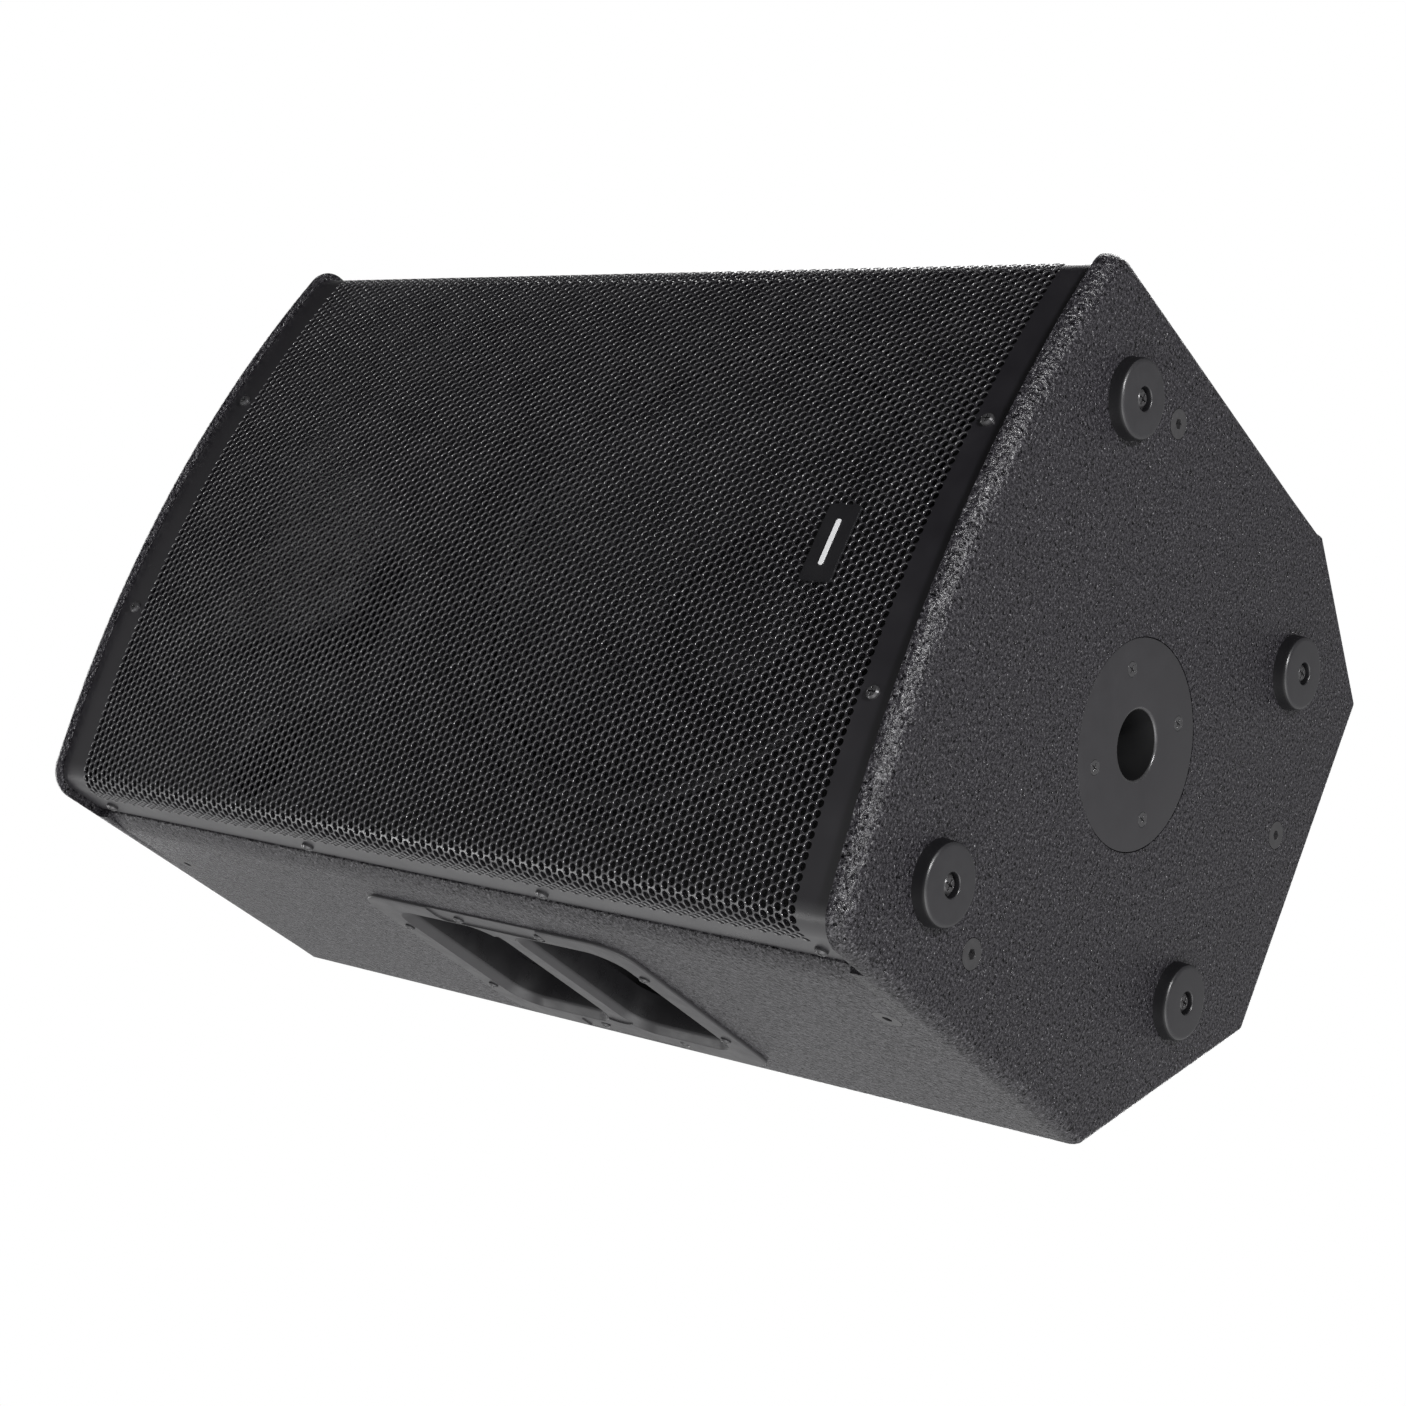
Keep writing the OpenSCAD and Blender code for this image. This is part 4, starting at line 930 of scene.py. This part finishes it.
def build_feet():
    foot_h = 8.0
    # radius, height below the panel: up the hole's rim to the wall, rounded edge, sole, recess
    profile = [(2.2, 0.0), (21.0, 0.0), (20.9, 0.6), (20.5, 4.6)]
    for k in range(7):
        a = math.radians(8 + 82 * k / 6)
        profile.append((17.9 + 2.5 * math.cos(a), 5.15 + 2.55 * math.sin(a)))
    profile += [
        (17.2, 7.72), (16.4, 7.76), (12.0, 7.85), (7.2, 7.95), (6.6, 7.9), (6.2, 7.55),
        (6.05, 7.0), (6.0, 4.2), (5.6, 4.0), (2.2, 4.0), (2.2, 0.0),
    ]
    deepest = max(h for _, h in profile)
    profile = [(r, -h * foot_h / deepest) for r, h in profile]
    for name, centre in FEET.items():
        ob = lathe(name + "_rubber", profile, 96, centre, MATS["foot_rubber"])
        finish_piece(ob, [name], angle=34)
        # side walls of the foot darker than its sole, as painted shade
        add_material(ob, MATS["foot_wall_painted_shade"], lambda p: abs(p.normal.z) < 0.5)


# ------------------------------------------------------------ badge bar, amplifier plate marks
def build_badge_bar():
    """flat bar lying on the badge, bent to the bow"""
    radius, bar_z = GRILLE_R + 1.4, 80
    rings = []
    for lift in (0.02, 0.28):
        r = radius + lift
        rings.append([
            (r * math.sin(a / radius), BOW_Y - r * math.cos(a / radius), bar_z + b)
            for a, b in rounded_rect(26.0, 2.9, 1.4, 5)
        ])
    ob = clean(new_obj("badge_bar", *loft(rings), MATS["badge_bar"]))
    finish_piece(ob, angle=30)


def build_plate_marks():
    """thin printed bars on the amplifier plate: ticks round the knobs, rules between groups"""
    plate_y = 184.06
    verts, faces = [], []

    def mark(x, z, w, h, turn=0.0):
        c, s = math.cos(turn), math.sin(turn)
        i = len(verts)
        for y in (plate_y - 0.04, plate_y + 0.02):
            for a, b in ((-w / 2, -h / 2), (w / 2, -h / 2), (w / 2, h / 2), (-w / 2, h / 2)):
                verts.append((x + a * c - b * s, y, z + a * s + b * c))
        faces.append((i, i + 1, i + 2, i + 3))
        faces.append((i + 7, i + 6, i + 5, i + 4))
        for j in range(4):
            k = (j + 1) % 4
            faces.append((i + j, i + 4 + j, i + 4 + k, i + k))

    knob_z, tick_r = 313, 12.3
    for knob_x in (-19, 13, 45, 77):
        for k in range(11):
            a = math.radians(240 - 30 * k)
            length = 2.2 if k % 5 == 0 else 1.4
            mark(knob_x + tick_r * math.cos(a), knob_z + tick_r * math.sin(a), length, 0.45, a)
    # x, z, width, height
    rules = [(29, z, 140, 0.4) for z in (328.5, 297.5, 272.5, 226)]
    rules += [(51, 249.5, 0.4, 38)]
    rules += [(x, 269.6, 16, 0.9) for x in (-15, 29, 73)]
    rules += [(x, 282.6, 4.2, 0.5) for x in (45, 55, 65)]
    rules += [(-9, 209.6, 16, 0.6), (56, 210.6, 30, 0.6)]
    for rule in rules:
        mark(*rule)
    ob = new_obj("plate_marks", verts, faces, MATS["plate_print"])
    finish_piece(ob, angle=30)


build_bottom()
build_top()
build_walls()
build_grille()
build_handle()
build_socket()
build_feet()
build_badge_bar()
build_plate_marks()

# ------------------------------------------------------------ CAD nodes: materials, edges
# material: the nodes wholly made of it
NODE_MATERIALS = {
    "plywood": "front_baffle brace_shelf amp_ledge_frame",
    "wadding": "wadding",
    "grille_steel": "grille_rails",
    "badge": "grille_badge",
    "screw_grey": "grille_screws handle_screws pole_socket_screws",
    "bolt_black": "foot_screws rigging_bolts hf_driver_bolts",
    "zinc_steel": "rigging_nuts woofer_top_plate woofer_pole_yoke hf_front_plate hf_rear_plate",
    "basket_metal": "woofer_basket woofer_screws",
    "gasket": "woofer_gasket",
    "ferrite": "woofer_magnet hf_magnet",
    "spider_cloth": "woofer_spider",
    "surround": "woofer_surround",
    "cone_paper": "woofer_cone",
    "dust_cap": "woofer_dust_cap",
    "copper": "woofer_voice_coil",
    "horn_plastic": "horn horn_screws hf_rear_cover hf_phase_plug port_tubes",
    "titanium": "hf_diaphragm",
    "amp_metal": "amp_plate",
    "heat_sink": "amp_heat_sink",
    "screw_black": "amp_plate_screws",
    "knob": "knob_line_level knob_mic_level knob_bass knob_treble",
    "switch": "power_rocker push_button",
    "cable": "speaker_wiring",
}


def set_materials(mesh, names):
    mesh.materials.clear()
    for name in names:
        mesh.materials.append(MATS[name])


def loose_part_boxes(mesh):
    """low and high corner (mm) of each loose part"""
    bm = bmesh.new()
    bm.from_mesh(mesh)
    bmesh.ops.remove_doubles(bm, verts=bm.verts, dist=1e-6)
    bm.faces.ensure_lookup_table()
    seen, boxes = set(), []
    for first in bm.faces:
        if first.index in seen:
            continue
        stack, part = [first], []
        seen.add(first.index)
        while stack:
            face = stack.pop()
            part.append(face)
            for edge in face.edges:
                for other in edge.link_faces:
                    if other.index not in seen:
                        seen.add(other.index)
                        stack.append(other)
        points = np.array([v.co for face in part for v in face.verts]) * 1000
        boxes.append((points.min(0), points.max(0)))
    bm.free()
    return boxes


def paint_parts(node, names, pick):
    """materials by loose part; pick(low corner, size) gives the index for a part"""
    mesh = NODES[node].data
    set_materials(mesh, names)
    parts = [(a, b, pick(a, b - a)) for a, b in loose_part_boxes(mesh)]
    for p in mesh.polygons:
        c = np.array(p.center) * 1000
        index, smallest = 0, 1e18
        # a face belongs to the smallest box round its centre
        for a, b, choice in parts:
            volume = np.prod(b - a + 0.1)
            if (c >= a - 0.01).all() and (c <= b + 0.01).all() and volume < smallest:
                index, smallest = choice, volume
        p.material_index = index


def pick_socket(corner, size):
    if size[0] >= 3.4:
        return 0
    return 1 if 285 < corner[2] < 292 else 2


def pick_board(corner, size):
    if size[1] > 30:
        return 2
    return 0 if size[0] > 60 else 1


def soften(node):
    """welded and slightly rounded edges, as modifiers"""
    weld = NODES[node].modifiers.new("weld", "WELD")
    weld.merge_threshold = 1e-6
    bevel = NODES[node].modifiers.new("round", "BEVEL")
    bevel.width = 0.3 * 0.001
    bevel.segments = 2
    bevel.limit_method = "ANGLE"
    bevel.angle_limit = math.radians(30)
    bevel.harden_normals = False
    bevel.use_clamp_overlap = True


for material_name, node_names in NODE_MATERIALS.items():
    for node_name in node_names.split():
        node_mesh = NODES[node_name].data
        set_materials(node_mesh, [material_name])
        for polygon in node_mesh.polygons:
            polygon.material_index = 0
paint_parts("amp_sockets", ["socket_black", "led_lens", "contact_metal"], pick_socket)
paint_parts("amp_boards", ["circuit_board", "zinc_steel", "capacitor_sleeve"], pick_board)
paint_parts("amp_transformer", ["transformer_tape", "zinc_steel"],
            lambda corner, size: 0 if size[0] > 60 else 1)
for node_name in ("amp_plate", "amp_sockets", "amp_heat_sink"):
    soften(node_name)


# ------------------------------------------------------------ stage, in metres
def build_floor():
    """pale disc at the foot soles, seen by the camera only; clear from below and far out"""
    tree, shader = new_material("floor")
    tone = noise(tree, object_coords(tree), scale=3.0, detail=2.0)
    color = ramp(tree, tone, [(0.3, (0.42,) * 3), (0.7, (0.44,) * 3)])
    tree.links.new(color, shader.inputs["Base Color"])
    shader.inputs["Roughness"].default_value = 0.9
    shader.inputs["Specular IOR Level"].default_value = 0.0
    shader.inputs["Emission Color"].default_value = (1, 1, 1, 1)
    shader.inputs["Emission Strength"].default_value = 0.60
    geometry = tree.nodes.new("ShaderNodeNewGeometry")
    clear = tree.nodes.new("ShaderNodeBsdfTransparent")
    mix = tree.nodes.new("ShaderNodeMixShader")
    coords = tree.nodes.new("ShaderNodeTexCoord")
    distance = tree.nodes.new("ShaderNodeVectorMath")
    distance.operation = "LENGTH"
    tree.links.new(coords.outputs["Object"], distance.inputs[0])
    fade = map_range(tree, distance.outputs["Value"], (1.2, 4.5), (0.0, 1.0))
    factor = math_node(tree, "MAXIMUM", geometry.outputs["Backfacing"], fade)
    tree.links.new(factor, mix.inputs[0])
    tree.links.new(shader.outputs[0], mix.inputs[1])
    tree.links.new(clear.outputs[0], mix.inputs[2])
    output = next(n for n in tree.nodes if n.type == "OUTPUT_MATERIAL")
    tree.links.new(mix.outputs[0], output.inputs[0])

    bpy.ops.mesh.primitive_circle_add(
        vertices=96, radius=9.0, fill_type="NGON", location=(0, 0, -0.0081))
    floor = bpy.context.object
    floor.name = "floor"
    floor.data.materials.append(MATS["floor"])
    floor.visible_diffuse = False
    floor.visible_glossy = False
    floor.visible_transmission = False
    floor.visible_shadow = False


def build_world():
    """white to the camera; light comes as a broad gradient and a lobe from low on the left"""
    world = bpy.data.worlds.new("studio")
    SCENE.world = world
    world.use_nodes = True
    tree = world.node_tree
    tree.nodes.clear()
    output = tree.nodes.new("ShaderNodeOutputWorld")
    light_path = tree.nodes.new("ShaderNodeLightPath")
    backdrop = tree.nodes.new("ShaderNodeBackground")
    backdrop.inputs["Color"].default_value = (1, 1, 1, 1)
    backdrop.inputs["Strength"].default_value = 1.0
    lighting = tree.nodes.new("ShaderNodeBackground")
    coords = tree.nodes.new("ShaderNodeTexCoord")

    def towards(direction):
        """cosine between the view direction and the given one"""
        dot = tree.nodes.new("ShaderNodeVectorMath")
        dot.operation = "DOT_PRODUCT"
        tree.links.new(coords.outputs["Generated"], dot.inputs[0])
        dot.inputs[1].default_value = Vector(direction).normalized()
        return dot.outputs["Value"]

    gradient = map_range(tree, towards((-0.85, 0.50, 0.12)), (-0.6, 0.9), (0.03, 0.86))
    lobe_tightness, lobe_strength = 7.0, 4.4
    lobe = math_node(tree, "MAXIMUM", towards((-0.82, -0.16, -0.53)), 0.0)
    lobe = math_node(tree, "POWER", lobe, lobe_tightness)
    lobe = math_node(tree, "MULTIPLY", lobe, lobe_strength)
    strength = math_node(tree, "ADD", gradient, lobe)
    tree.links.new(strength, lighting.inputs["Strength"])
    mix = tree.nodes.new("ShaderNodeMixShader")
    tree.links.new(light_path.outputs["Is Camera Ray"], mix.inputs[0])
    tree.links.new(lighting.outputs[0], mix.inputs[1])
    tree.links.new(backdrop.outputs[0], mix.inputs[2])
    tree.links.new(mix.outputs[0], output.inputs[0])


def area_light(name, location, target, size, power):
    light = bpy.data.lights.new(name, "AREA")
    light.energy = power
    light.size = size
    ob = bpy.data.objects.new(name, light)
    SCENE.collection.objects.link(ob)
    ob.location = location
    ob.rotation_mode = "QUATERNION"
    ob.rotation_quaternion = (Vector(target) - Vector(location)).to_track_quat("-Z", "Y")
    ob.visible_camera = False


def build_camera():
    """view of the front, the handle side and the underside"""
    # rows: the camera's right, down and forward axes in the cabinet's frame
    axes = np.array([
        [0.3844573587715118, 0.5381533753251424, -0.7500556538768236],
        [-0.8676314807223122, 0.48814773548772433, -0.09448493000375507],
        [0.31529058493085527, 0.6870973242302454, 0.6545907989649686],
    ])
    # the cabinet's origin along those axes, mm
    origin = np.array([220.94743164, 21.39971001, 1277.46531564])
    location = -axes.T @ (origin * 0.001)
    rotation = axes.T @ np.diag([1.0, -1.0, -1.0])
    camera = bpy.data.cameras.new("photo_view")
    camera.sensor_width = 36.0
    camera.lens = 64.321707
    camera.clip_start = 0.05
    camera.clip_end = 50.0
    ob = bpy.data.objects.new("photo_view", camera)
    SCENE.collection.objects.link(ob)
    ob.matrix_world = Matrix([[*rotation[i], location[i]] for i in range(3)] + [[0, 0, 0, 1]])
    SCENE.camera = ob


build_floor()
build_world()
area_light("key", (0.62, -1.28, -1.85), target=(0, -0.1, 0.2), size=0.34, power=60.0)
area_light("left_strip", (-1.30, -0.55, 1.45), target=(-0.19, 0, 0.29), size=0.20, power=3.0)
area_light("right_soft", (2.1, 0.9, 1.3), target=(0, 0, 0.3), size=1.4, power=45.0)
area_light("rear_soft", (0.6, 2.3, 1.2), target=(0, 0, 0.3), size=1.4, power=30.0)
area_light("top_soft", (0.2, 0.4, 2.6), target=(0, 0, 0.3), size=1.6, power=24.0)
build_camera()
